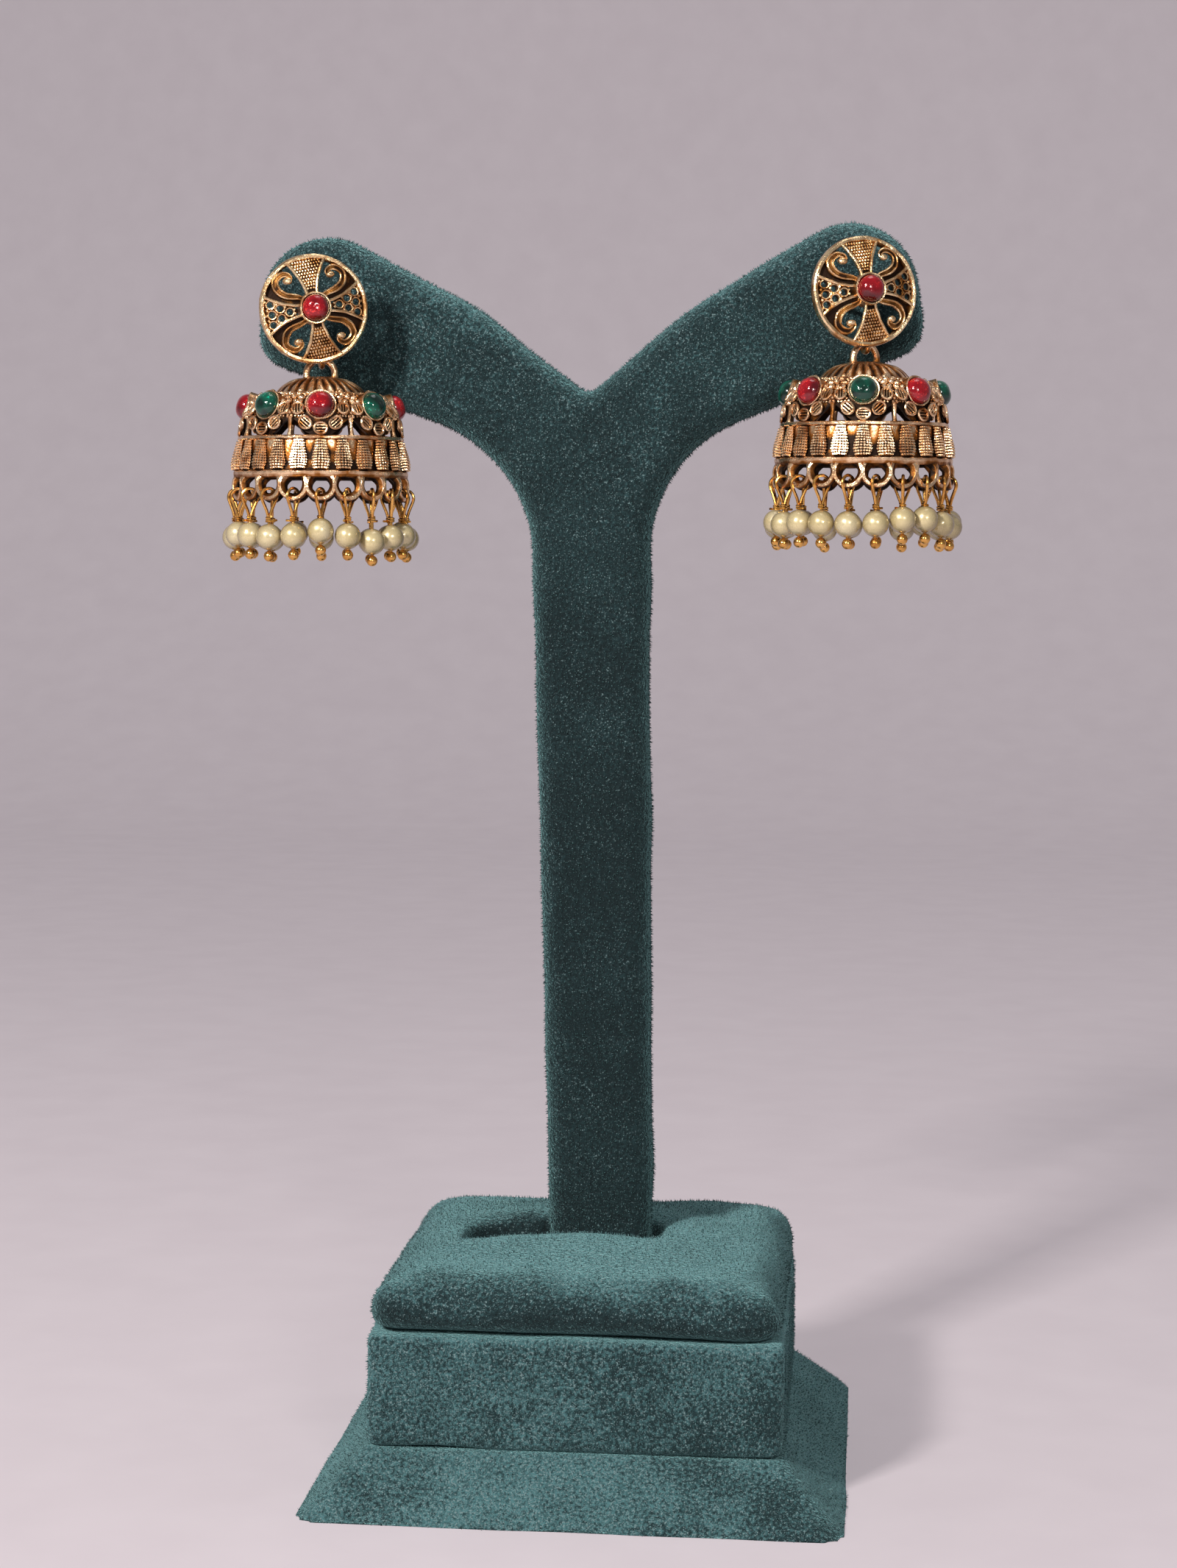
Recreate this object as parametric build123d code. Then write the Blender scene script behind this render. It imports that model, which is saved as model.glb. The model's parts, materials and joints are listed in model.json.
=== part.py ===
"""A pair of jhumka earrings on a velvet earring stand.

Millimetres, Z up.  The origin is the middle of the stand's underside, X runs along the stand's two
arms and the front faces -Y.  Each earring is a round pierced stud on a straight ear pin, a pierced
bell that hangs from the stud's loop by a cast bail, eight cabochons round the bell's shoulder, and
twenty pearl drops on wire head pins.  Each bell swings on its bail.
"""

import math
import os

from build123d import *

# ---------------------------------------------------------------- stand, from the floor up
FOOT_SIDE = 80.0
BOX_SIDE = 61.4
FOOT_HEIGHT = 8.6
BOX_TOP = 25.4
PAD_SEAM = 0.2  # the gap under the pad
PAD_EDGE_TOP = 33.0
PAD_CROWN = 35.6  # the middle of the cushion
PAD_CROWN_RADIUS = 25.0
PAD_ROUNDING = 4.5
SLOT_LEFT = -20.0
SLOT_RIGHT = 10.4
SLOT_DEPTH_Y = 10.8

# ---------------------------------------------------------------- post and arms, one slab
SLAB_THICKNESS = 10.0
SLAB_ROUNDING = 3.2
POST_X = 1.5
POST_BOTTOM = 25.9
LEAN = 1.2  # degrees, towards -X
ARM_CORNERS = (
    # x from the post's middle, z, radius of the corner
    (0.0, 163.3, 1.5),  # bottom of the V
    (17.0, 177.2, 40.0),  # the arm's top edge bends here
    (48.0, 193.9, 10.0),  # top of the arm's end
    (50.8, 169.9, 5.0),  # under the arm's end
    (9.0, 154.1, 22.0),  # armpit
    (7.9, POST_BOTTOM, 0.5),  # foot of the post
)

# ---------------------------------------------------------------- earrings, where they hang
HANG_X = 40.2
HANG_Y = -13.8
EARRINGS = (
    # name, side of the stand, height of the bail's top wire, the stud's turn, roll and tilt,
    # the bail's turn, the bell's turn (all turns in degrees, towards +X)
    ("left", -1, 167.9, 18.0, 10.5, 0.0, 10.0, 11.0),
    ("right", 1, 170.1, 22.5, 7.0, 5.0, 36.0, 44.6),
)
DROP_SAG = {
    # how much longer than the shortest each drop is, round the bell from its first stone
    "left": (
        (0.0, 0.7, 1.5, 0.9, 0.6, 1.0, 0.3, 0.8, 1.3, 0.5)
        + (0.9, 0.2, 1.1, 0.6, 0.4, 0.9, 0.5, 0.6, 0.9, 0.7)
    ),
    "right": (
        (0.0, 0.7, 1.0, 0.4, 1.1, 0.5, 1.2, 0.3, 0.8, 1.3)
        + (0.4, 0.9, 1.0, 0.5, 0.8, 0.6, 0.7, 0.8, 0.7, 0.1)
    ),
}

# ---------------------------------------------------------------- stud
DISC_RADIUS = 8.0
DISC_RISE = 1.5  # the disc is a shallow dome
RIM_WIDTH = 0.8
PLATE_THICKNESS = 0.9
RIM_THICKNESS = 1.4
SPOKE_WIDTH = 0.5
SPOKE_RISE = 0.35
SCROLL_WIDTH = 0.66
DISC_UP = 7.4  # from the hang point to the disc's middle
DISC_FORWARD = 1.95
STUD_BEZEL_RADIUS = 2.4
STUD_BEZEL_TOP = 3.0
STUD_SEAT_DEPTH = 0.8
LOOP_RADIUS = 1.3
LOOP_WIRE = 0.4
LOOP_RISE = 0.27
EAR_PIN_RADIUS = 0.4
EAR_PIN_LENGTH = 12.5  # behind the disc's rim
EAR_PIN_CLEARANCE = 0.25

# ---------------------------------------------------------------- bell, heights from the hang point
BAIL_RADIUS = 2.1
BAIL_WIRE = 0.55
WALL = 0.9
CAP_TOP = -2.85
CAP_FLAT_R = 3.0
CAP_RIM_R, CAP_RIM_Z = 6.8, -5.1
SHOULDER_R, SHOULDER_Z = 11.4, -8.6
BAND_TOP_R, BAND_TOP_Z = 11.8, -11.8
BAND_FOOT_R, BAND_FOOT_Z = 12.5, -16.8
BELL_RIM_Z = -17.3
RING_WIRE = 0.4
BARRELS = 24
BARREL_TOP, BARREL_FOOT = 0.58, 0.85  # radii
STONES = 8
STONE_HEIGHT = -7.1
STONE_SEAT_R = 10.9
STONE_TILT = 17.0
BEZEL_RADIUS = 2.35
BEZEL_DEPTH = 1.9
STONE_RADIUS = 1.95
STONE_FIT = 0.06
STONE_BODY = 0.9
STONE_DOME = 1.35
WINDOW_TOP, WINDOW_FOOT = -9.4, -11.4
WINDOW_NEAR, WINDOW_FAR = 0.45, 2.5  # from the pillar's middle

# ---------------------------------------------------------------- loops and pearl drops
DROPS = 20
EYE_R = 12.6
EYE_WIDTH = 4.02
EYE_THICKNESS = 0.7
EYE_MIDDLE = -18.65
EYE_RADIUS = 2.45
EYE_HOLE = 1.15
EYE_HOLE_TOP = -17.6
DROP_R = 12.7
DROP_WIRE = 0.25
DROP_TOP = -19.25
DROP_BEND = 1.15
DROP_NECK = 4.25
DROP_TURN = 22.0
PEARL_RADIUS = 1.92
PEARL_HOLE = 0.36
PEARL_MIDDLE = -25.4  # of the shortest drop
BALL_RADIUS = 0.8


def turned(part, degrees):
    """Turns a part about Z so that its front moves towards +X."""
    return Rot(0, 0, degrees) * part


def around(part, count, first=0.0):
    """Copies of a part at equal steps round Z."""
    return [turned(part, first + 360.0 / count * i) for i in range(count)]


def solid_between(outline, low, high):
    """A prism over a face in the XY plane."""
    return Pos(0, 0, low) * extrude(outline, high - low)


# ---------------------------------------------------------------- stand
def stand_foot():
    """The sloping skirt at the floor."""
    bottom = RectangleRounded(FOOT_SIDE, FOOT_SIDE, 3.0)
    top = Pos(0, 0, FOOT_HEIGHT) * RectangleRounded(BOX_SIDE, BOX_SIDE, 1.5)
    return loft([bottom, top])


def stand_box():
    """The square box over the foot."""
    return solid_between(RectangleRounded(BOX_SIDE, BOX_SIDE, 1.5), FOOT_HEIGHT, BOX_TOP)


def stand_pad():
    """The crowned cushion, slotted for the post."""
    low = BOX_TOP + PAD_SEAM
    block = solid_between(RectangleRounded(BOX_SIDE, BOX_SIDE, 4.6), low, PAD_EDGE_TOP)
    block = fillet(block.faces().sort_by(Axis.Z)[-1].edges(), PAD_ROUNDING)
    rise = PAD_CROWN - PAD_EDGE_TOP
    ball_radius = (PAD_CROWN_RADIUS**2 + rise**2) / (2 * rise)
    ball = Pos(0, 0, PAD_CROWN - ball_radius) * Sphere(ball_radius)
    crown = ball & Pos(0, 0, PAD_EDGE_TOP + 2) * Box(BOX_SIDE, BOX_SIDE, 6)
    slot_length = SLOT_RIGHT - SLOT_LEFT
    slot = RectangleRounded(slot_length, SLOT_DEPTH_Y, 2.0)
    slot = Pos((SLOT_LEFT + SLOT_RIGHT) / 2, 0, 0) * solid_between(slot, low - 1, PAD_CROWN + 1)
    return block + crown - slot


def lean():
    """Where the slab stands: its own frame has the post's middle at x = 0."""
    return Pos(POST_X, 0, POST_BOTTOM) * Rot(0, -LEAN, 0) * Pos(0, 0, -POST_BOTTOM)


def stand_arms(ear_pins):
    """The post and its two arms, one rounded slab, with a hole for each ear pin."""
    right = [(x, z) for x, z, _ in ARM_CORNERS]
    left = [(-x, z) for x, z, _ in reversed(ARM_CORNERS[1:])]
    radii = [r for _, _, r in ARM_CORNERS] + [r for _, _, r in reversed(ARM_CORNERS[1:])]
    outline = make_face(FilletPolyline(*(right + left), radius=radii, close=True))
    slab = Rot(90, 0, 0) * extrude(outline, SLAB_THICKNESS / 2, both=True)
    front_and_back = slab.faces().filter_by(Axis.Y).sort_by(Axis.Y)
    long_edges = (front_and_back[0].edges() + front_and_back[-1].edges()).filter_by(
        lambda edge: edge.center().Z > POST_BOTTOM + 1
    )
    slab = fillet(long_edges, SLAB_ROUNDING)
    slab = lean() * slab
    for hole in ear_pins:
        slab = slab - hole
    return slab


# ---------------------------------------------------------------- stud, its own frame: hang point at 0
def arm_outline(shrink=0.0):
    """One flared arm of the disc's cross, pointing up, out to the middle of the rim."""
    inner, outer = 1.2, DISC_RADIUS - RIM_WIDTH / 2
    narrow, wide = 0.62 - shrink, 3.2 - shrink
    bow = 1.25 - shrink
    middle = (inner + outer) / 2
    edge = ThreePointArc((narrow, inner), (bow, middle), (wide, outer))
    other = ThreePointArc((-wide, outer), (-bow, middle), (-narrow, inner))
    return make_face([edge, Line(edge @ 1, other @ 0), other, Line(other @ 1, edge @ 0)])


def scroll():
    """A C-scroll in the upper right window, flat, before it is given its thickness."""
    sweep_out = ThreePointArc((1.45, 1.7), (3.85, 2.75), (4.8, 4.55))
    curl = ThreePointArc((4.8, 4.55), (3.75, 5.62), (2.78, 4.75))
    line = trace(sweep_out, SCROLL_WIDTH) + trace(curl, SCROLL_WIDTH)
    return line + Pos(3.12, 4.35) * Circle(0.52)


def domed(outline, low, high):
    """The part of a prism that lies between two heights over the disc's domed middle surface."""
    ball_radius = (DISC_RADIUS**2 + DISC_RISE**2) / (2 * DISC_RISE)
    shell = Sphere(ball_radius + high) - Sphere(ball_radius + low)
    return solid_between(outline, -1, DISC_RISE + 1) & Pos(0, 0, DISC_RISE - ball_radius) * shell


def trellis_holes():
    """The small holes of a level arm, drawn pointing up, in rows that widen outwards."""
    places = [(0.0, 3.7), (0.72, 5.0), (-0.72, 5.0), (0.0, 6.3), (1.5, 6.3), (-1.5, 6.3)]
    return [Pos(x, y) * Circle(0.45) for x, y in places]


def stud():
    """The pierced disc with its rim, cross, scrolls, bezel, loop and ear pin, one soldered solid."""
    half = PLATE_THICKNESS / 2
    rim = Circle(DISC_RADIUS) - Circle(DISC_RADIUS - RIM_WIDTH)
    disc = solid_between(rim, -half, -half + RIM_THICKNESS)
    for quarter in range(4):
        holes = trellis_holes() if quarter % 2 else []
        arm = arm_outline() - holes
        rib = arm - arm_outline(SPOKE_WIDTH)
        disc += Rot(0, 0, 90 * quarter) * domed(arm, -half, half)
        disc += Rot(0, 0, 90 * quarter) * domed(rib, 0, half + SPOKE_RISE)
    one = domed(scroll(), -half + 0.1, half + 0.2)
    for piece in (one, mirror(one, Plane.YZ), mirror(one, Plane.XZ), Rot(0, 0, 180) * one):
        disc += piece
    disc += solid_between(Circle(STUD_BEZEL_RADIUS), DISC_RISE - half - 0.1, STUD_BEZEL_TOP)
    seat = STUD_BEZEL_TOP - STUD_SEAT_DEPTH
    disc -= solid_between(Circle(STONE_RADIUS + STONE_FIT), seat, STUD_BEZEL_TOP + 1)
    disc += solid_between(Circle(EAR_PIN_RADIUS), -EAR_PIN_LENGTH, DISC_RISE)
    disc = Pos(0, -DISC_FORWARD, DISC_UP) * Rot(90, 0, 0) * disc
    loop = Pos(0, 0, LOOP_RISE) * Rot(0, 90, 0) * Torus(LOOP_RADIUS, LOOP_WIRE)
    return disc + loop


def cabochon():
    """A round stone on the XY plane, its flat back down."""
    body = solid_between(Circle(STONE_RADIUS), 0, STONE_BODY)
    arc = ThreePointArc(
        (STONE_RADIUS, STONE_BODY),
        (STONE_RADIUS * 0.74, STONE_BODY + STONE_DOME * 0.7),
        (0, STONE_BODY + STONE_DOME),
    )
    section = make_face([Line((0, STONE_BODY), arc @ 0), arc, Line(arc @ 1, (0, STONE_BODY))])
    return body + revolve(Rot(90, 0, 0) * section, Axis.Z)


def stud_stone():
    """The red stone, in its bezel in the middle of the disc."""
    lift = STUD_BEZEL_TOP - STUD_SEAT_DEPTH + STONE_FIT
    return Pos(0, -DISC_FORWARD, DISC_UP) * Rot(90, 0, 0) * Pos(0, 0, lift) * cabochon()


def stud_place(name_row):
    """The stud's placing on the hang point: rolled in its own plane, tilted back, then turned."""
    _, side, height, turn, roll, tilt, _, _ = name_row
    return (
        Pos(side * HANG_X, HANG_Y, height)
        * Rot(0, 0, turn)
        * Rot(-tilt, 0, 0)
        * Rot(0, -roll, 0)
    )


def pin_hole():
    """The clearance hole that the ear pin slides into, in the stud's frame."""
    length = EAR_PIN_LENGTH + 0.6
    radius = EAR_PIN_RADIUS + EAR_PIN_CLEARANCE
    return Pos(0, -DISC_FORWARD + length / 2, DISC_UP) * Rot(90, 0, 0) * Cylinder(radius, length)


# ---------------------------------------------------------------- bell, its own frame: hang point at 0
def bell_wall():
    """The cast shell, from the cap's crown to the bell's rim, as one turned section."""
    crown = Line((0, CAP_TOP), (CAP_FLAT_R, CAP_TOP))
    cap = ThreePointArc(crown @ 1, (5.1, -3.63), (CAP_RIM_R, CAP_RIM_Z))
    shoulder = ThreePointArc((CAP_RIM_R, CAP_RIM_Z), (9.6, -6.2), (SHOULDER_R, SHOULDER_Z))
    side = Polyline(
        (SHOULDER_R, SHOULDER_Z),
        (BAND_TOP_R, BAND_TOP_Z),
        (BAND_FOOT_R, BAND_FOOT_Z),
        (BAND_FOOT_R, BELL_RIM_Z),
        (BAND_FOOT_R - WALL, BELL_RIM_Z),
        (BAND_FOOT_R - WALL, BAND_FOOT_Z),
        (BAND_TOP_R - WALL, BAND_TOP_Z),
        (SHOULDER_R - WALL, SHOULDER_Z),
    )
    inner_rim = (CAP_RIM_R - 0.2, CAP_RIM_Z - WALL)
    inner_shoulder = ThreePointArc((SHOULDER_R - WALL, SHOULDER_Z), (9.1, -7.1), inner_rim)
    inner_cap = ThreePointArc(inner_rim, (4.9, -4.5), (CAP_FLAT_R, CAP_TOP - WALL))
    ceiling = Polyline((CAP_FLAT_R, CAP_TOP - WALL), (0, CAP_TOP - WALL), (0, CAP_TOP))
    section = make_face([crown, cap, shoulder, side, inner_shoulder, inner_cap, ceiling])
    return revolve(Rot(90, 0, 0) * section, Axis.Z)


def ring(radius, height):
    """A plain bead of metal round the bell."""
    return Pos(0, 0, height) * Torus(radius, RING_WIRE)


def stone_seat():
    """The placing of the front stone: on the shoulder, facing out and a little up."""
    return Pos(0, -STONE_SEAT_R, STONE_HEIGHT) * Rot(90 - STONE_TILT, 0, 0)


def window():
    """One see-through triangle beside a pillar, as a prism towards the front."""
    foot = ((WINDOW_NEAR, WINDOW_FOOT), (WINDOW_FAR, WINDOW_FOOT))
    outline = make_face(Polyline(*foot, (WINDOW_NEAR, WINDOW_TOP), close=True))
    return Pos(0, -9, 0) * Rot(90, 0, 0) * extrude(outline, 6)


def barrel():
    """One upright bar of the band, leaning with its flare."""
    top, foot = (BAND_TOP_R, BAND_TOP_Z), (BAND_FOOT_R, BAND_FOOT_Z)
    flare = math.degrees(math.atan2(foot[0] - top[0], top[1] - foot[1]))
    bar = Cone(BARREL_FOOT, BARREL_TOP, math.dist(top, foot))
    middle = Pos(0, -(top[0] + foot[0]) / 2, (top[1] + foot[1]) / 2)
    return middle * Rot(-flare, 0, 0) * bar


def eye():
    """One loop under the rim that carries a drop: a flat eye with a flat-topped hole."""
    leg_top = BELL_RIM_Z + 0.3
    outer = Pos(0, EYE_MIDDLE) * Circle(EYE_RADIUS)
    outer += Pos(0, (EYE_MIDDLE + leg_top) / 2) * Rectangle(EYE_WIDTH, leg_top - EYE_MIDDLE)
    outer &= Pos(0, EYE_MIDDLE) * Rectangle(EYE_WIDTH, 4 * EYE_RADIUS)
    hole = Pos(0, EYE_MIDDLE) * Circle(EYE_HOLE)
    hole += Pos(0, (EYE_MIDDLE + EYE_HOLE_TOP) / 2) * Rectangle(2 * EYE_HOLE, EYE_HOLE_TOP - EYE_MIDDLE)
    plate = extrude(outer - hole, EYE_THICKNESS / 2, both=True)
    return Pos(0, -EYE_R, 0) * Rot(90, 0, 0) * plate


def bail_arch():
    """The arch of wire on the cap that hangs in the stud's loop, its two feet in the cap's wall."""
    whole = Pos(0, 0, -BAIL_RADIUS) * Rot(90, 0, 0) * Torus(BAIL_RADIUS, BAIL_WIRE)
    below = 4 * BAIL_RADIUS
    return whole - Pos(0, 0, CAP_TOP - WALL / 2 - below / 2) * Box(below, below, below)


def bell(bail_turn):
    """The bell with its bail, bezels and eyes, one cast solid."""
    body = bell_wall() + turned(bail_arch(), bail_turn)
    body += [ring(CAP_RIM_R, CAP_RIM_Z), ring(BAND_TOP_R, BAND_TOP_Z), ring(BAND_FOOT_R, BAND_FOOT_Z)]
    body += around(barrel(), BARRELS)
    bezel = stone_seat() * Pos(0, 0, -0.9) * Cylinder(BEZEL_RADIUS, BEZEL_DEPTH)
    body += around(bezel, STONES)
    body -= around(stone_seat() * solid_between(Circle(STONE_RADIUS + STONE_FIT), -0.75, 3), STONES)
    pillar_step = 360.0 / STONES
    body -= around(window(), STONES, pillar_step / 2)
    body -= around(mirror(window(), Plane.YZ), STONES, pillar_step / 2)
    return body + around(eye(), DROPS)


def bell_stone():
    """The front stone of the bell."""
    return stone_seat() * Pos(0, 0, -0.75 + STONE_FIT) * cabochon()


# ---------------------------------------------------------------- drops, in the bell's frame
def drop_pin(sag):
    """The front head pin: a teardrop of wire through the eye, a shank and a ball."""
    bend_middle = DROP_TOP - DROP_BEND
    neck = DROP_TOP - DROP_NECK
    slope = math.asin(DROP_BEND / (bend_middle - neck))
    side = (DROP_BEND * math.cos(slope), bend_middle - DROP_BEND * math.sin(slope))
    shoulder = (DROP_BEND * math.cos(math.pi / 4), bend_middle + DROP_BEND * math.sin(math.pi / 4))
    leg = Line((0, neck), side)
    bend = ThreePointArc(side, shoulder, (0, DROP_TOP))
    path = Rot(90, 0, 0) * Wire([leg, bend])
    profile = Plane(origin=path @ 0, z_dir=path % 0) * Circle(DROP_WIRE)
    half = sweep(profile, path=path)
    ball_middle = PEARL_MIDDLE - sag - PEARL_RADIUS - 0.1 - BALL_RADIUS
    shank = Pos(0, 0, (neck + ball_middle) / 2) * Cylinder(DROP_WIRE, neck - ball_middle + 0.1)
    wire = half + mirror(half, Plane.YZ) + shank
    wire += Pos(0, 0, ball_middle) * Sphere(BALL_RADIUS)
    return Pos(0, -DROP_R, 0) * Rot(0, 0, 90 - DROP_TURN) * wire


def pearl(sag):
    """The front pearl, drilled for its pin."""
    ball = Sphere(PEARL_RADIUS) - Cylinder(PEARL_HOLE, 2 * PEARL_RADIUS)
    return Pos(0, -DROP_R, PEARL_MIDDLE - sag) * ball


def drops(make_one, sags):
    """All the drops of one bell."""
    step = 360.0 / DROPS
    return Compound(children=[turned(make_one(sag), step * i) for i, sag in enumerate(sags)])


def save(node, part):
    """Writes one node."""
    export_step(part, os.path.join("parts", node + ".step"))


def main():
    """Builds every node."""
    os.makedirs("parts", exist_ok=True)
    save("stand_foot", stand_foot())
    save("stand_box", stand_box())
    save("stand_pad", stand_pad())
    save("stand_arms", stand_arms([stud_place(row) * pin_hole() for row in EARRINGS]))
    stud_solid, stud_stone_solid, stone_solid = stud(), stud_stone(), bell_stone()
    for row in EARRINGS:
        name, side, height, _, _, _, bail_turn, bell_turn = row
        save(name + "_stud", stud_place(row) * stud_solid)
        save(name + "_stud_stone", stud_place(row) * stud_stone_solid)
        hung = Pos(side * HANG_X, HANG_Y, height) * Rot(0, 0, bell_turn)
        save(name + "_bell", hung * bell(bail_turn - bell_turn))
        for i, stone in enumerate(around(stone_solid, STONES)):
            save(f"{name}_bell_stone_{i + 1}", hung * stone)
        save(name + "_pearls", hung * drops(pearl, DROP_SAG[name]))
        save(name + "_drop_pins", hung * drops(drop_pin, DROP_SAG[name]))


main()
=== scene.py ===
# %% [markdown]
# # A pair of jhumka earrings on a velvet stand
#
# A jhumka is a bell-shaped earring. A round stud is pushed through the ear, a bell hangs from its loop,
# and pearls on short wires hang from the bell's rim. This pair is shown on a stand wrapped in velvet.
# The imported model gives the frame: each solid's place, the bodies that move and the two swinging joints.
# This lesson dresses that frame in cast metal, glass, pearl and pile, with shapes worked out in numpy.

# %% Load the frame
import json
import math

import bpy
import numpy as np
from mathutils import Matrix, Vector


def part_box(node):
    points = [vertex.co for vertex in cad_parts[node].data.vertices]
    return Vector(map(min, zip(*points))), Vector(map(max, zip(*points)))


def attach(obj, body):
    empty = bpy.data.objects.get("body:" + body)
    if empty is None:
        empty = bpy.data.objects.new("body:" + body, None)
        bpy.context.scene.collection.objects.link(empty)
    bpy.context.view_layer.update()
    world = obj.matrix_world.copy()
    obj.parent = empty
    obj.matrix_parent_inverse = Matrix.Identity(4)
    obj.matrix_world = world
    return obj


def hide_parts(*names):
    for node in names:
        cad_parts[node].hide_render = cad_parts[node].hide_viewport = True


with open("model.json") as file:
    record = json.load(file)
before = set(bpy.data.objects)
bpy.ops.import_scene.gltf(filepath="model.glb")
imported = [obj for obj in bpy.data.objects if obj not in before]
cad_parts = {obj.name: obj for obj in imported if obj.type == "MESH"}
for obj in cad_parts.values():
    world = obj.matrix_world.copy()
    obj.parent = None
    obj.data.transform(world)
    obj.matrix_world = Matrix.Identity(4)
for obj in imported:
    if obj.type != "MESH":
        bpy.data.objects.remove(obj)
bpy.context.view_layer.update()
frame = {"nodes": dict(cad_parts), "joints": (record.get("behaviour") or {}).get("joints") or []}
nodes = frame["nodes"]
MM = 0.001
chance = np.random.default_rng(11)

# %% [markdown]
# ## Grids of points
#
# Almost every shape here is a grid: rows of points that run one way and columns that run the other.
# Neighbouring points make four-cornered faces, and a grid may close on itself like a pipe or a ring.
# A shape is kept as three arrays: its points, its faces, and how polished each point is, from 0 in a
# dark recess, where patina and painted shade darken it, to 1 on a high spot that fingers rub bright; some
# high values are painted highlights. A triangle has -1 as its fourth corner.


# %% Faces between the points of a grid
def grid_faces(rows, columns, loop_rows=False):
    """Faces between neighbouring points. Columns close on themselves, and rows do too if loop_rows."""
    row = np.arange(rows if loop_rows else rows - 1)[:, None]
    column = np.arange(columns)[None, :]
    next_row = (row + 1) % rows
    next_column = (column + 1) % columns
    corners = (
        row * columns + column,
        row * columns + next_column,
        next_row * columns + next_column,
        next_row * columns + column,
    )
    return np.stack(np.broadcast_arrays(*corners), -1).reshape(-1, 4)


def fan(ring, centre, outward):
    """Triangles from a ring of points to one middle point, turned over unless outward."""
    after = np.roll(ring, -1)
    first, second = (ring, after) if outward else (after, ring)
    return np.stack([first, second, np.full_like(ring, centre), np.full_like(ring, -1)], -1)


def together(shapes):
    """Several shapes as one: the point numbers of each follow on from those before it."""
    starts = np.cumsum([0] + [len(points) for points, _, _ in shapes])
    faces = [np.where(f < 0, -1, f + start) for (_, f, _), start in zip(shapes, starts)]
    return (
        np.concatenate([points for points, _, _ in shapes]),
        np.concatenate(faces),
        np.concatenate([polish for _, _, polish in shapes]),
    )


def with_caps(grid, faces, polish):
    """Closes both ends of a pipe of rows with a fan to the middle of the end row."""
    rows, columns = grid.shape[:2]
    points = np.vstack([grid.reshape(-1, 3), grid[0].mean(0), grid[-1].mean(0)])
    first = np.arange(columns)
    last = first + (rows - 1) * columns
    start, end = rows * columns, rows * columns + 1
    faces = np.vstack([faces, fan(first, start, False), fan(last, end, True)])
    return points, faces, np.append(polish, [polish[0], polish[-1]])


# %% Turned shapes and bars along a path
def shine_over(polish, grid):
    """Polish and painted shade for each point of a grid: from one number, one for each row, or a whole
    table.
    """
    polish = np.asarray(polish, float)
    polish = polish[:, None] if polish.ndim == 1 else polish
    return np.broadcast_to(polish, grid.shape[:2]).ravel()


def closed_up(grid, loop, polish):
    """A grid as a shape: a loop closes on itself, and otherwise both ends are capped."""
    shine = shine_over(polish, grid)
    faces = grid_faces(*grid.shape[:2], loop)
    if loop:
        return grid.reshape(-1, 3), faces, shine
    return with_caps(grid, faces, shine)


def full_turn(count):
    """Equal angles all the way round, in radians."""
    return np.linspace(0, 2 * np.pi, count, endpoint=False)


def round_grid(radius, height, angle):
    """Points round Z: radius x cos of the angle, radius x sin, height."""
    return np.stack([radius * np.cos(angle), radius * np.sin(angle), height + 0 * angle], -1)


def lathe(profile, sides, polish=1.0, loop=False):
    """A turned shape. Each profile point (radius, height) goes round Z. The profile climbs on the
    outside."""
    profile = np.array(profile, float)
    grid = round_grid(profile[:, :1], profile[:, 1:], full_turn(sides))
    return closed_up(grid, loop, polish)


def bar(path, radius, up, sides=8, thick=1.0, loop=False, polish=1.0, section=None):
    """A bar along a path. At each path point an ellipse, or another section, stands square to the
    path: its side axis is up x direction, its lift axis is direction x side, and thick is lift over
    side."""
    path = np.array(path, float)
    if loop:
        ahead = np.roll(path, -1, 0) - np.roll(path, 1, 0)
    else:
        ahead = np.gradient(path, axis=0)
    ahead /= np.linalg.norm(ahead, axis=1, keepdims=True)
    side = np.cross(np.broadcast_to(np.array(up, float), path.shape), ahead)
    side /= np.linalg.norm(side, axis=1, keepdims=True)
    lift = np.cross(ahead, side)
    if section is None:
        angle = full_turn(sides)
        section = np.stack([np.cos(angle), thick * np.sin(angle)], -1)
    section = np.array(section, float)
    size = np.broadcast_to(np.asarray(radius, float), (len(path),))[:, None, None]
    ring = section[:, :1] * side[:, None] + section[:, 1:] * lift[:, None]
    return closed_up(path[:, None] + size * ring, loop, polish)


def ball(radius, sides, rows, polish=1.0):
    """A sphere as a turned half circle. The profile starts and ends just off the axis."""
    rise = np.linspace(-np.pi / 2, np.pi / 2, rows + 2)[1:-1]
    return lathe(np.stack([radius * np.cos(rise), radius * np.sin(rise)], -1), sides, polish)


def ring_path(radius, count):
    """Points on a circle in the XY plane."""
    return round_grid(radius, 0.0, full_turn(count))


def smooth_path(points, steps):
    """A soft curve through points: between two of them, a cubic whose slopes are half the step
    between the neighbours on either side."""
    points = np.array(points, float)
    slope = np.gradient(points, axis=0)
    t = np.linspace(0, len(points) - 1, steps)
    i = np.minimum(t.astype(int), len(points) - 2)
    u = (t - i)[:, None]
    return (
        (2 * u**3 - 3 * u**2 + 1) * points[i]
        + (u**3 - 2 * u**2 + u) * slope[i]
        + (3 * u**2 - 2 * u**3) * points[i + 1]
        + (u**3 - u**2) * slope[i + 1]
    )


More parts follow.
